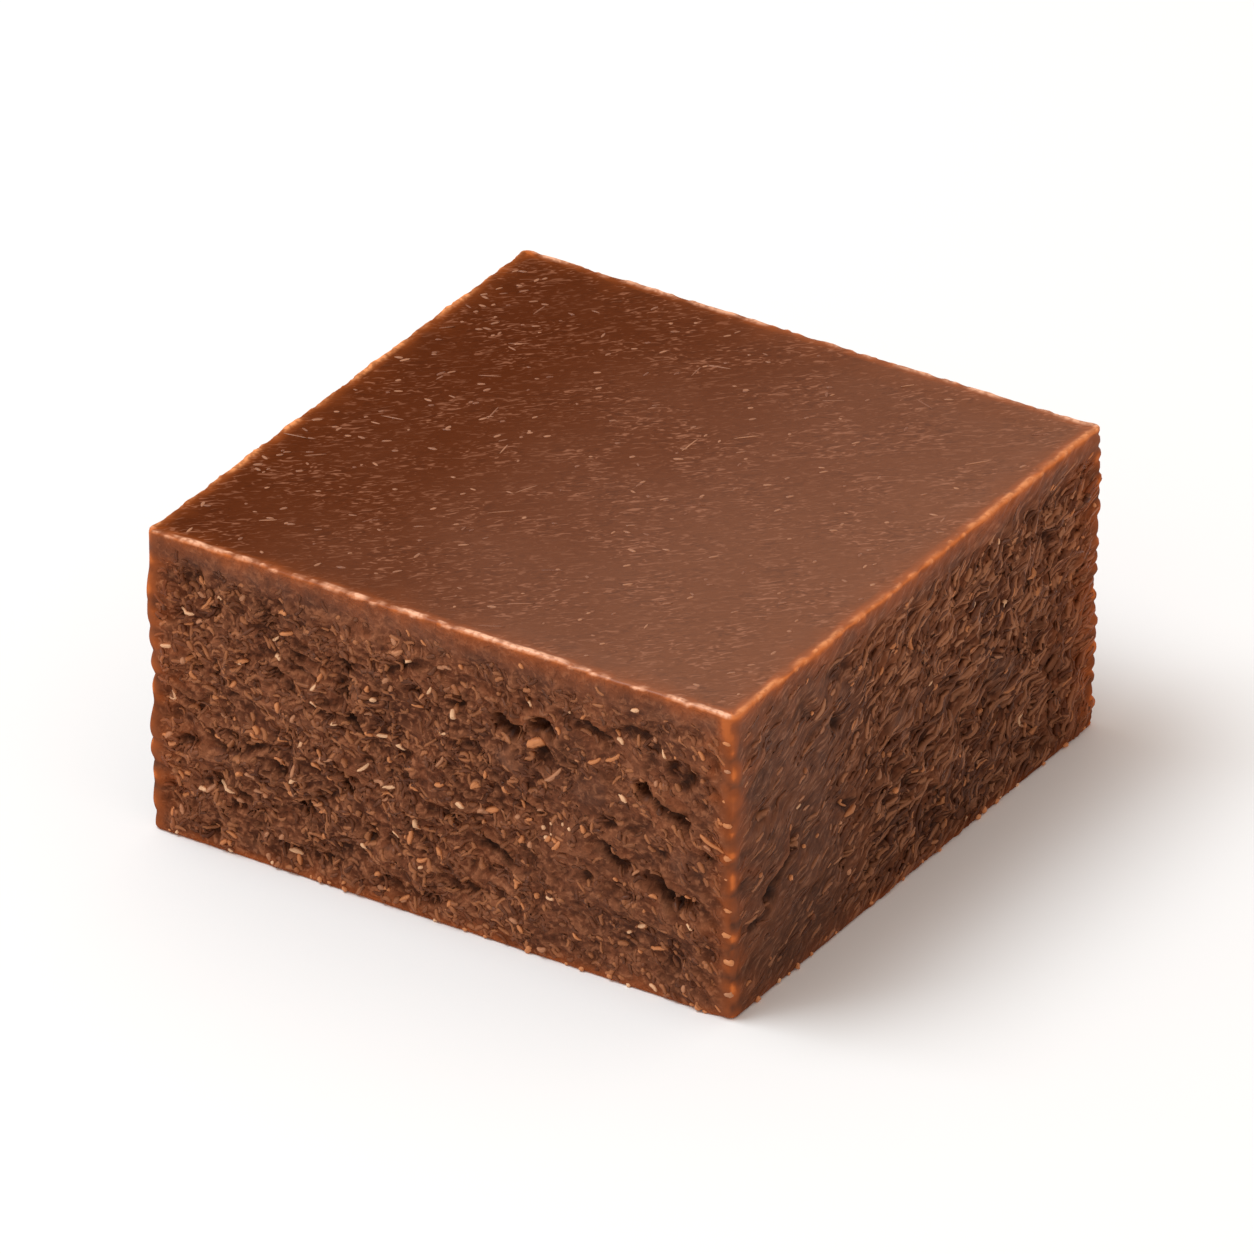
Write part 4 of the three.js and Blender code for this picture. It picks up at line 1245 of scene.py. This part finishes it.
# %% Make the crumbs
CRUMBS_ON_FOOT = 95
CRUMBS_ON_SIDES = 220
SUGAR_SPECKS = 280
NUB_SIZE = np.array([0.32, 0.2, 0.19])
CRUMB_KNOBS = 0.22
# A crumb's share of painted highlight, all over.
CRUMB_PAINTED_LIGHT = 0.8

# A row of sugar grains beside one crack of the front side: along and up.
GRAIN_ROW = [(29.1, 9.4), (28.4, 9.3), (27.5, 9.0), (26.9, 8.5), (27.2, 8.0), (27.6, 8.4)]


def ball():
    """Points of a round ball of radius 1, and its triangles."""
    mesh = bmesh.new()
    bmesh.ops.create_icosphere(mesh, subdivisions=2, radius=1.0)
    mesh.verts.ensure_lookup_table()
    places = np.array([vert.co[:] for vert in mesh.verts])
    faces = np.array([[vert.index for vert in face.verts] for face in mesh.faces])
    mesh.free()
    return places, faces


def knobbly_balls(name, draw, middles, sizes, tints, turns, knobs):
    """One object of many small uneven balls: sizes are per ball and axis, turns per ball."""
    places, faces = ball()
    count = len(middles)
    swelling = 1.0 + draw.uniform(-knobs, knobs, (count, len(places)))
    shaped = places[None] * sizes[:, None, :] * swelling[..., None]
    x, y, z = np.moveaxis(shaped, -1, 0)
    cos, sin = np.cos(turns)[:, None], np.sin(turns)[:, None]
    turned = np.stack([x * cos - y * sin, x * sin + y * cos, z], axis=-1)
    none = np.zeros(count * len(places))
    fields = {
        "tint": np.repeat(tints, len(places)),
        "back": none + CRUMB_PAINTED_LIGHT,
        "edge": none,
        "low": none,
        "dragged_side": none,
    }
    world_places = (middles[:, None, :] + turned).reshape(-1, 3)
    world_places[:, 2] = np.maximum(world_places[:, 2], 0.01)
    return make_piece(name, world_places, joined(faces, count, len(places)), fields)


# Crumbs lie loose on the foot and the sides, and a nub clings to each tooth of a torn side's
# right-hand corner.
crumb_draw = np.random.default_rng(19)
teeth = np.arange(1, TEETH)
loose = CRUMBS_ON_FOOT + CRUMBS_ON_SIDES
nub_side = np.repeat(TORN_SIDES, len(teeth))
nub_up = np.tile(teeth * TOOTH_PITCH, 2) + crumb_draw.normal(0.0, 0.2, 2 * len(teeth))
nub_along = SIDE - crumb_draw.uniform(0.3, 0.6, len(nub_side))
row_along, row_above_foot = np.array(GRAIN_ROW).T
row_side = np.full(len(GRAIN_ROW), FRONT)
crumb_side = np.concatenate([crumb_draw.integers(0, 4, loose), nub_side, row_side])
crumb_along = np.concatenate([crumb_draw.uniform(0.7, SIDE - 0.7, loose), nub_along, row_along])
foot_up = crumb_draw.uniform(0.1, 0.32, CRUMBS_ON_FOOT)
loose_up = crumb_draw.uniform(0.6, HEIGHT - 2.4, CRUMBS_ON_SIDES)
crumb_up = np.concatenate([foot_up, loose_up, nub_up, row_above_foot])

crumb_count = len(crumb_side)
nubs = slice(loose, loose + len(nub_side))
crumb_radius = crumb_draw.uniform(0.09, 0.21, (crumb_count, 1))
crumb_size = crumb_radius * crumb_draw.uniform(0.75, 1.25, (crumb_count, 3))
crumb_size[nubs] = crumb_draw.uniform(0.4, 1.2, (len(nub_side), 1)) * NUB_SIZE
foot_tint = crumb_draw.uniform(0.8, 1.0, CRUMBS_ON_FOOT)
loose_tint = crumb_draw.uniform(0.1, 0.9, CRUMBS_ON_SIDES)
nub_tint = crumb_draw.uniform(0.76, 0.88, len(nub_side))
crumb_tint = np.concatenate([foot_tint, loose_tint, nub_tint, np.full(len(GRAIN_ROW), SUGARY_AND_PAINTED_GLINT)])
crumb_above = np.full(crumb_count, -0.02)
crumb_above[nubs] = crumb_draw.uniform(-0.14, -0.06, len(nub_side))
crumb_middle = place_on_sides(crumb_side, crumb_along, crumb_up, crumb_above)
crumb_turns = crumb_draw.uniform(0.0, math.pi, crumb_count)
crumb_turns[nubs] = 0.0
crumb_piece = knobbly_balls(
    "fudge_crumbs", crumb_draw, crumb_middle, crumb_size, crumb_tint, crumb_turns, CRUMB_KNOBS
)
print("crumbs:", crumb_count)

# %% Make the sugar specks
SPECK_SLOPE = 42.0
SPECK_THICKNESS = 0.03
SPECK_KNOBS = 0.12
SCRATCHES = 26
SCRATCH_WIDTH = 0.06

speck_draw = np.random.default_rng(23)
speck_reach = SIDE / 2 - 1.0
speck_count = SUGAR_SPECKS + SCRATCHES
speck_x = -speck_reach + 2 * speck_reach * speck_draw.uniform(0.0, 1.0, speck_count) ** 1.6
speck_y = speck_draw.uniform(-speck_reach, speck_reach, speck_count)
speck_middle = np.stack([speck_x, speck_y, top_height(speck_x, speck_y)], axis=-1) + shift
speck_length = speck_draw.uniform(0.11, 0.34, speck_count)
speck_width = speck_draw.uniform(0.07, 0.13, speck_count)
speck_length[SUGAR_SPECKS:] = speck_draw.uniform(0.5, 0.95, SCRATCHES)
speck_width[SUGAR_SPECKS:] = SCRATCH_WIDTH
speck_size = np.stack([speck_length, speck_width, np.full(speck_count, SPECK_THICKNESS)], axis=-1)
speck_tint = speck_draw.uniform(0.0, 1.0, speck_count)
speck_turns = np.radians(SPECK_SLOPE) + speck_draw.normal(0.0, 0.6, speck_count)
speck_piece = knobbly_balls(
    "sugar_specks", speck_draw, speck_middle, speck_size, speck_tint, speck_turns, SPECK_KNOBS
)
print("sugar specks:", speck_count)

# %% [markdown]
# ## Finishes: a short way to write nodes
#
# A finish is a tree of nodes, each taking values from the ones before. The class below adds a
# node and fills its inputs in one call, so that a finish can be read like a recipe. Colours are
# given as they look on a screen, and changed to the linear values that light is worked out in.

# %% Node helper
def paint(red, green, blue):
    """A screen colour, 0 to 255, as linear values."""
    shares = [value / 255.0 for value in (red, green, blue)]
    linear = [share / 12.92 if share <= 0.04045 else ((share + 0.055) / 1.055) ** 2.4 for share in shares]
    return (*linear, 1.0)


class Recipe:
    """Adds nodes to a tree and joins them. An input can be a value or the output of a node."""

    def __init__(self, tree):
        self.tree = tree
        self.tree.nodes.clear()

    def add(self, kind, inputs=None, **settings):
        """A new node with the given settings and inputs."""
        node = self.tree.nodes.new(kind)
        for name, value in settings.items():
            setattr(node, name, value)
        for name, value in (inputs or {}).items():
            self.fill(node.inputs[name], value)
        return node

    def fill(self, socket, value):
        """Join a socket to the output of a node, or set its value."""
        if isinstance(value, bpy.types.NodeSocket):
            self.tree.links.new(value, socket)
        else:
            socket.default_value = value

    def field(self, name, output="Fac"):
        """A measured field of the points."""
        return self.add("ShaderNodeAttribute", attribute_name=name).outputs[output]

    def maths(self, operation, first, second):
        return self.add("ShaderNodeMath", {0: first, 1: second}, operation=operation).outputs[0]

    def times(self, first, second):
        return self.maths("MULTIPLY", first, second)

    def step(self, value, start, end, low=0.0, high=1.0):
        """From low to high in an even curve, while the value goes from start to end."""
        inputs = {"Value": value, "From Min": start, "From Max": end, "To Min": low, "To Max": high}
        return self.add("ShaderNodeMapRange", inputs, interpolation_type="SMOOTHSTEP").outputs["Result"]

    def between(self, share, first, second):
        """A number from the first to the second."""
        return self.add("ShaderNodeMix", {0: share, 2: first, 3: second}).outputs[0]

    def blend(self, share, first, second):
        """A colour from the first to the second."""
        return self.add("ShaderNodeMix", {0: share, 6: first, 7: second}, data_type="RGBA").outputs[2]

    def layered(self, colour, layers):
        """A colour with others blended over it in turn, each by its share."""
        for share, layer in layers:
            colour = self.blend(share, colour, layer)
        return colour

    def noise(self, place, size, detail=2.0, roughness=0.5, distortion=0.0):
        """Noise of a size in mm, or of three sizes, one along each axis."""
        shrink = tuple(1.0 / part for part in np.broadcast_to(size, 3))
        place = self.add("ShaderNodeVectorMath", {0: place, 1: shrink}, operation="MULTIPLY").outputs[0]
        inputs = {"Vector": place, "Scale": 1.0, "Detail": detail, "Roughness": roughness}
        return self.add("ShaderNodeTexNoise", {**inputs, "Distortion": distortion}).outputs["Fac"]


print("a mid cocoa brown in linear values:", [round(value, 4) for value in paint(107, 65, 44)])

# %% [markdown]
# ## Shared effects
#
# Three effects are used by more than one finish, so each is a node group. The first turns the
# object's own metres into millimetres. The second is cocoa brown, never quite even: it drifts
# between a darker and a lighter brown over some millimetres and mottles finely. The third is a
# painted glow: thin edges of fudge let light through, and this is painted into the colour, from
# brown to orange, with a painted highlight on the beads.

# %% Node groups
def new_group(name, inputs, outputs):
    """An empty shader node group with named sockets, its input node, and its output node."""
    tree = bpy.data.node_groups.new(name, "ShaderNodeTree")
    for label, kind, value in inputs:
        socket = tree.interface.new_socket(label, in_out="INPUT", socket_type=kind)
        if value is not None:
            socket.default_value = value
    for label, kind in outputs:
        tree.interface.new_socket(label, in_out="OUTPUT", socket_type=kind)
    recipe = Recipe(tree)
    return recipe, recipe.add("NodeGroupInput").outputs, recipe.add("NodeGroupOutput").inputs


def millimetre_group():
    recipe, _, results = new_group("millimetres", [], [("Place", "NodeSocketVector")])
    place = recipe.add("ShaderNodeTexCoord").outputs["Object"]
    scaled = recipe.add("ShaderNodeVectorMath", {0: place, "Scale": 1.0 / MM}, operation="SCALE")
    recipe.fill(results["Place"], scaled.outputs[0])
    return recipe.tree


def uneven_brown_group():
    recipe, given, results = new_group(
        "uneven_brown",
        [
            ("Place", "NodeSocketVector", None),
            ("Dark", "NodeSocketColor", paint(60, 33, 22)),
            ("Light", "NodeSocketColor", paint(120, 75, 52)),
            ("Mottle", "NodeSocketFloat", 0.5),
        ],
        [("Colour", "NodeSocketColor")],
    )
    drift = recipe.noise(given["Place"], 5.0, detail=1.0)
    mottle = recipe.noise(given["Place"], 0.6, detail=3.0, roughness=0.6)
    mottle = recipe.times(recipe.maths("SUBTRACT", mottle, 0.5), given["Mottle"])
    share = recipe.step(recipe.maths("ADD", drift, mottle), 0.2, 0.8)
    recipe.fill(results["Colour"], recipe.blend(share, given["Dark"], given["Light"]))
    return recipe.tree


def painted_glow_group():
    recipe, given, results = new_group(
        "painted_glow",
        [
            ("Colour", "NodeSocketColor", paint(100, 60, 40)),
            ("Edge", "NodeSocketFloat", 0.0),
            ("Bead", "NodeSocketFloat", 0.0),
            ("Warm", "NodeSocketColor", paint(180, 90, 38)),
            ("Thin", "NodeSocketColor", paint(216, 118, 56)),
            ("Highlight", "NodeSocketColor", paint(222, 152, 112)),
        ],
        [("Colour", "NodeSocketColor")],
    )
    # The painted glow, brightest on the very edge, then the painted highlight of the beads.
    recipe.fill(results["Colour"], recipe.layered(given["Colour"], [
        (given["Edge"], given["Warm"]),
        (recipe.step(given["Edge"], 0.5, 0.85, 0.0, 0.8), given["Thin"]),
        (given["Bead"], given["Highlight"]),
    ]))
    return recipe.tree


def group_node(recipe, group, inputs):
    """The outputs of a shared effect with the given inputs."""
    return recipe.add("ShaderNodeGroup", inputs, node_tree=group).outputs


millimetres = millimetre_group()
uneven_brown = uneven_brown_group()
painted_glow = painted_glow_group()
print("shared effects:", [group.name for group in (millimetres, uneven_brown, painted_glow)])

# %% [markdown]
# ## The finish of the fudge itself
#
# One finish covers the whole skin and changes with the measured fields. On the cut sides the
# colour follows the grain: strands are lighter, partly their own tone and partly a painted
# highlight, and the gaps between them are painted shade, nearly black-brown. Smooth parts are
# greasy and a little greyer, which is partly a painted sheen. Painted shade darkens the hollows,
# the foot of a dragged side and the inside of a crack, and a painted highlight lightens the proud
# spots.

# %% Colour of the cut sides
# Painted shade towards the foot of a dragged side: its share and its colour.
FOOT_PAINTED_SHADE_SHARE = 0.42
FOOT_PAINTED_SHADE_COLOUR = paint(44, 20, 9)


def cut_colour(recipe, place, way):
    """Colour and fine height of the cut sides."""
    smooth = recipe.field("smooth")
    dragged_side = recipe.field("dragged_side")
    coarse = recipe.noise(way, (1.2, 0.34, 1.0), roughness=0.55, distortion=0.6)
    drawn_out = recipe.noise(way, (0.7, 0.15, 1.0), detail=1.5, distortion=0.5)
    granules = recipe.noise(place, 0.32, detail=1.0, distortion=0.5)
    fine = recipe.between(dragged_side, granules, drawn_out)
    fibre = recipe.maths("ADD", recipe.times(coarse, 0.5), recipe.times(fine, 0.5))
    off_seam = recipe.maths("SUBTRACT", 1.0, recipe.field("seam"))
    fibre = recipe.times(recipe.maths("SUBTRACT", fibre, 0.5), off_seam)
    brown = group_node(recipe, uneven_brown, {
        "Place": place, "Dark": paint(79, 43, 28), "Light": paint(120, 69, 45), "Mottle": 0.9,
    })["Colour"]
    # Smooth parts get a greasy grey that is partly a painted sheen, more of it on the dragged sides.
    greasy_and_painted_sheen = recipe.times(smooth, recipe.step(dragged_side, 0.0, 1.0, 0.14, 0.32))
    crumbly = recipe.step(smooth, 0.9, 0.1, 0.55, 1.0)
    # Pale crests are partly the grain's own tone and partly a painted highlight, and dark gaps are
    # painted shade.
    pale_grain_and_painted_highlight = recipe.times(recipe.step(fibre, 0.0, 0.14, 0.0, 0.6), crumbly)
    dark_grain_and_painted_shade = recipe.times(recipe.step(fibre, -0.01, -0.13, 0.0, 0.55), crumbly)
    return recipe.layered(brown, [
        (greasy_and_painted_sheen, paint(112, 78, 58)),
        (pale_grain_and_painted_highlight, recipe.blend(dragged_side, paint(174, 114, 80), paint(198, 141, 109))),
        (dark_grain_and_painted_shade, paint(54, 28, 16)),
        # Painted highlight on proud spots, and painted shade in hollows, at the foot of a dragged side
        # and in open cracks.
        (recipe.times(recipe.field("proud"), 0.5), paint(160, 102, 70)),
        (recipe.step(recipe.field("hollow"), 0.1, 1.0, 0.0, 0.8), paint(36, 18, 10)),
        (recipe.times(recipe.field("low"), FOOT_PAINTED_SHADE_SHARE), FOOT_PAINTED_SHADE_COLOUR),
        (recipe.times(recipe.field("gape"), 0.66), paint(28, 13, 8)),
    ]), fibre


print("strands in the finish are about 0.15 and 0.3 mm wide")

# %% [markdown]
# The poured top is a satin brown with a fine hatch of short winding streaks, left by the spatula
# that levelled it; their pale crests are a painted highlight and their dark sides painted shade.
# Its colour is redder and darker towards the left and paler towards the right, which is painted
# light and shade. More butter came up towards the right, so it is duller on the left and shinier
# on the right.

# %% Colour of the poured top
HATCH_SLOPE = math.radians(SPECK_SLOPE)

# Butter coat and painted light gained for each mm to the right, and lost for each mm back.
PAINTED_LIGHT_AND_BUTTER_GAIN = 0.0265
PAINTED_LIGHT_AND_BUTTER_LOSS = 0.004


def top_colour(recipe, place):
    """Colour, fine height, and share of butter coat and painted light of the poured top."""
    across = recipe.add("ShaderNodeSeparateXYZ", {0: place}).outputs
    gained = recipe.times(across[0], PAINTED_LIGHT_AND_BUTTER_GAIN)
    gained = recipe.maths("SUBTRACT", gained, recipe.times(across[1], PAINTED_LIGHT_AND_BUTTER_LOSS))
    drift = recipe.noise(place, 9.0, detail=1.0)
    butter_and_painted_light = recipe.step(recipe.maths("ADD", gained, recipe.times(drift, 0.3)), -0.4, 0.7)
    turned = recipe.add("ShaderNodeVectorRotate", {"Vector": place, "Angle": -HATCH_SLOPE}).outputs[0]
    hatch = recipe.noise(turned, (0.95, 0.3, 1.0), detail=1.5, distortion=1.6)
    patches = recipe.step(recipe.noise(place, 4.0, detail=1.0), 0.38, 0.62, 0.35, 1.0)
    # The base colour is painted darker and redder on the left and paler on the right: painted light and
    # shade.
    colour = recipe.layered(recipe.blend(butter_and_painted_light, paint(86, 37, 11), paint(118, 67, 39)), [
        # The hatch's pale crests are a painted highlight, and its dark sides painted shade.
        (recipe.times(recipe.step(hatch, 0.54, 0.7, 0.0, 0.55), patches), paint(168, 112, 84)),
        (recipe.times(recipe.step(hatch, 0.47, 0.32, 0.0, 0.32), patches), paint(58, 25, 10)),
    ])
    return colour, hatch, butter_and_painted_light


print("the hatch slopes by", round(math.degrees(HATCH_SLOPE)), "degrees")

# %% Fudge finish
def new_finish(name):
    """A finish with an empty tree, the recipe for it, and the place in mm."""
    finish = bpy.data.materials.new(name)
    finish.use_nodes = True
    recipe = Recipe(finish.node_tree)
    return finish, recipe, group_node(recipe, millimetres, {})["Place"]


def add_surface(recipe, looks):
    """The last two nodes of a finish: a surface that looks as given, and the output."""
    surface = recipe.add("ShaderNodeBsdfPrincipled", looks)
    recipe.add("ShaderNodeOutputMaterial", {"Surface": surface.outputs[0]})


def bump(recipe, strength, height_mm, field):
    """Normals for fine relief of the given height."""
    inputs = {"Strength": strength, "Distance": height_mm * MM, "Height": field}
    return recipe.add("ShaderNodeBump", inputs).outputs[0]


def fudge_finish():
    finish, recipe, place = new_finish("chocolate_fudge")
    cut, fibre = cut_colour(recipe, place, recipe.field("grain_way", "Vector"))
    top, hatch, butter_and_painted_light = top_colour(recipe, place)
    is_top = recipe.field("is_top")
    # The beads and the rim line get a painted highlight, broken up by fine grains.
    grains = recipe.noise(place, 0.32, detail=1.0)
    beads = recipe.times(recipe.field("bead"), recipe.step(grains, 0.36, 0.6, 0.5, 1.15))
    colour = group_node(recipe, painted_glow, {
        "Highlight": recipe.blend(recipe.field("dragged_side"), paint(244, 182, 146), paint(236, 152, 96)),
        "Colour": recipe.blend(is_top, cut, top),
        "Edge": recipe.times(recipe.field("edge"), 0.85),
        "Bead": recipe.maths("MINIMUM", beads, 1.0),
    })["Colour"]
    cut_rough = recipe.step(recipe.field("smooth"), 0.0, 1.0, 0.66, 0.5)
    top_rough = recipe.step(hatch, 0.3, 0.8, 0.4, 0.5)
    normals = {4: bump(recipe, 0.95, 0.34, fibre), 5: bump(recipe, 0.8, 0.12, hatch)}
    cut_butter = recipe.step(recipe.field("smooth"), 0.3, 1.0, 0.1, 0.24)
    top_butter = recipe.step(butter_and_painted_light, 0.0, 1.0, 0.08, 0.6)
    add_surface(recipe, {
        "Base Color": colour,
        "Roughness": recipe.between(is_top, cut_rough, top_rough),
        "Normal": recipe.add("ShaderNodeMix", {0: is_top, **normals}, data_type="VECTOR").outputs[1],
        "Specular IOR Level": 0.0,
        "Coat Weight": recipe.between(is_top, cut_butter, top_butter),
        "Coat Roughness": 0.38,
    })
    return finish


fudge.data.materials.append(fudge_finish())
print("finish:", fudge.data.materials[0].name)

# %% [markdown]
# ## The finish of the strands and crumbs
#
# A strand is the same brown, with a painted highlight on its back and painted shade on its belly.
# Its tint number picks the odd ones out: the palest are sugar, the orange ones butter, and their
# paleness is partly a painted glint. The crumbs wear the same finish.

# %% Strand finish
def strand_finish():
    finish, recipe, place = new_finish("fudge_crumb")
    brown = group_node(recipe, uneven_brown, {
        "Place": place, "Dark": paint(87, 48, 31), "Light": paint(134, 82, 55), "Mottle": 0.9,
    })["Colour"]
    tint = recipe.field("tint")
    back = recipe.field("back")
    # Painted highlight on the backs of the pale bits, and painted shade on the bellies of the strands.
    painted_core_highlight = recipe.step(back, 0.2, 0.7)
    painted_belly_shade = recipe.times(recipe.step(back, 0.55, 0.0, 0.0, 0.6), recipe.step(tint, 0.73, 0.72))
    tan = recipe.blend(recipe.field("dragged_side"), paint(180, 116, 76), paint(188, 126, 88))
    # Colours of the pale bits, partly a painted glint, and for the milky ones partly a painted sheen.
    milky_and_painted_sheen = recipe.blend(painted_core_highlight, paint(150, 92, 62), paint(188, 132, 98))
    butter_and_painted_light = recipe.blend(painted_core_highlight, paint(170, 98, 56), paint(206, 134, 86))
    sugar_and_painted_glint = recipe.blend(painted_core_highlight, paint(184, 110, 66), paint(236, 186, 144))
    colour = recipe.layered(brown, [
        (recipe.step(tint, 0.2, 0.0, 0.0, 0.5), paint(64, 34, 19)),
        (recipe.step(tint, 0.24, 0.74, 0.0, 0.8), tan),
        (recipe.step(tint, 0.72, 0.73, 0.0, 0.9), milky_and_painted_sheen),
        (recipe.step(tint, 0.79, 0.8, 0.0, 0.95), butter_and_painted_light),
        (recipe.step(tint, 0.91, 0.92, 0.0, 1.0), sugar_and_painted_glint),
        (painted_belly_shade, paint(52, 27, 15)),
        (recipe.times(recipe.field("low"), FOOT_PAINTED_SHADE_SHARE), FOOT_PAINTED_SHADE_COLOUR),
    ])
    # The painted glow of the corners and the foot.
    edge = recipe.times(recipe.field("edge"), 0.7)
    fine = recipe.noise(place, 0.16)
    add_surface(recipe, {
        "Base Color": group_node(recipe, painted_glow, {"Colour": colour, "Edge": edge})["Colour"],
        "Roughness": recipe.step(fine, 0.3, 0.7, 0.3, 0.5),
        "Normal": bump(recipe, 0.5, 0.04, fine),
        "Specular IOR Level": 0.14,
    })
    return finish


def sugar_finish():
    finish, recipe, place = new_finish("sugar_crystal")
    colour = recipe.blend(recipe.field("tint"), paint(112, 58, 32), paint(176, 120, 86))
    cloudy = recipe.noise(place, 0.1)
    add_surface(recipe, {
        "Base Color": recipe.blend(recipe.step(cloudy, 0.3, 0.7, 0.0, 0.4), colour, paint(150, 96, 66)),
        "Roughness": recipe.step(cloudy, 0.3, 0.7, 0.25, 0.45),
        "Specular IOR Level": 0.4,
    })
    return finish


crumb_finish = strand_finish()
for piece in (torn_piece, dragged_piece, crumb_piece):
    piece.data.materials.append(crumb_finish)
speck_piece.data.materials.append(sugar_finish())
print("finishes:", [finish.name for finish in bpy.data.materials])

# %% [markdown]
# ## Table, light and camera
#
# Food is photographed on a white table under a large soft lamp from the upper left, with white
# walls all round. The walls are the plain white world, and the lamp is a square area light.

# %% White table
FLOOR_HALF = 3.0
TABLE_GREYS = (0.90, 0.92)


def white_table():
    corners = [(-1, -1), (1, -1), (1, 1), (-1, 1)]
    mesh = bpy.data.meshes.new("table")
    mesh.from_pydata([(x * FLOOR_HALF, y * FLOOR_HALF, 0) for x, y in corners], [], [(0, 1, 2, 3)])
    table = bpy.data.objects.new("table", mesh)
    bpy.context.scene.collection.objects.link(table)
    finish, recipe, place = new_finish("white_table")
    greys = [(grey, grey, grey, 1.0) for grey in TABLE_GREYS]
    add_surface(recipe, {
        "Base Color": recipe.blend(recipe.noise(place, 60.0), *greys),
        "Roughness": 0.7,
        "Specular IOR Level": 0.1,
    })
    mesh.materials.append(finish)
    return table


table = white_table()
print("table:", 2 * FLOOR_HALF, "m wide")

# %% Lights
PIECE_MIDDLE = Vector((0.0, 0.0, HEIGHT / 2 * MM))
LAMP_DIRECTION = Vector((-0.37, -0.23, 0.9)).normalized()
LAMP_DISTANCE = 0.9
LAMP_SIZE = 0.5
LAMP_WATTS = 5.35
LAMP_COLOUR = (0.93, 1.03, 1.09)
WALL_COLOUR = (1.0, 0.875, 0.79, 1.0)
WALL_STRENGTH = 0.69


def facing_the_piece(name, data, direction, distance):
    """A lamp or camera that faces the middle of the piece from the given direction."""
    holder = bpy.data.objects.new(name, data)
    holder.location = PIECE_MIDDLE + direction * distance
    holder.rotation_euler = direction.to_track_quat("Z", "Y").to_euler()
    bpy.context.scene.collection.objects.link(holder)
    return holder


lamp = bpy.data.lights.new("window_lamp", "AREA")
lamp.shape = "SQUARE"
lamp.size = LAMP_SIZE
lamp.energy = LAMP_WATTS
lamp.color = LAMP_COLOUR
facing_the_piece("window_lamp", lamp, LAMP_DIRECTION, LAMP_DISTANCE).visible_camera = False

world = bpy.data.worlds.new("white_room")
world.use_nodes = True
background = world.node_tree.nodes["Background"]
background.inputs["Color"].default_value = WALL_COLOUR
background.inputs["Strength"].default_value = WALL_STRENGTH
bpy.context.scene.world = world
bpy.context.scene.view_settings.view_transform = "Standard"
print("lights:", [light.name for light in bpy.data.lights])

# %% [markdown]
# ## Camera
#
# The camera stands nearly a metre away, 30 degrees above the table and 33 degrees round from
# the broad front side, with a long lens. From there both cut sides and the top show at once.

# %% Camera
VIEW_TURN = math.radians(32.67)
VIEW_RISE = math.radians(30.14)
VIEW_DISTANCE = 0.9
VIEW_WIDTH = 0.073
SENSOR_WIDTH = 36.0

level = math.cos(VIEW_RISE)
view_direction = Vector((math.sin(VIEW_TURN) * level, -math.cos(VIEW_TURN) * level, math.sin(VIEW_RISE)))
lens = bpy.data.cameras.new("camera")
lens.sensor_width = SENSOR_WIDTH
lens.lens = SENSOR_WIDTH * VIEW_DISTANCE / VIEW_WIDTH
bpy.context.scene.camera = facing_the_piece("camera", lens, view_direction, VIEW_DISTANCE)
print("lens:", round(lens.lens, 1), "mm")
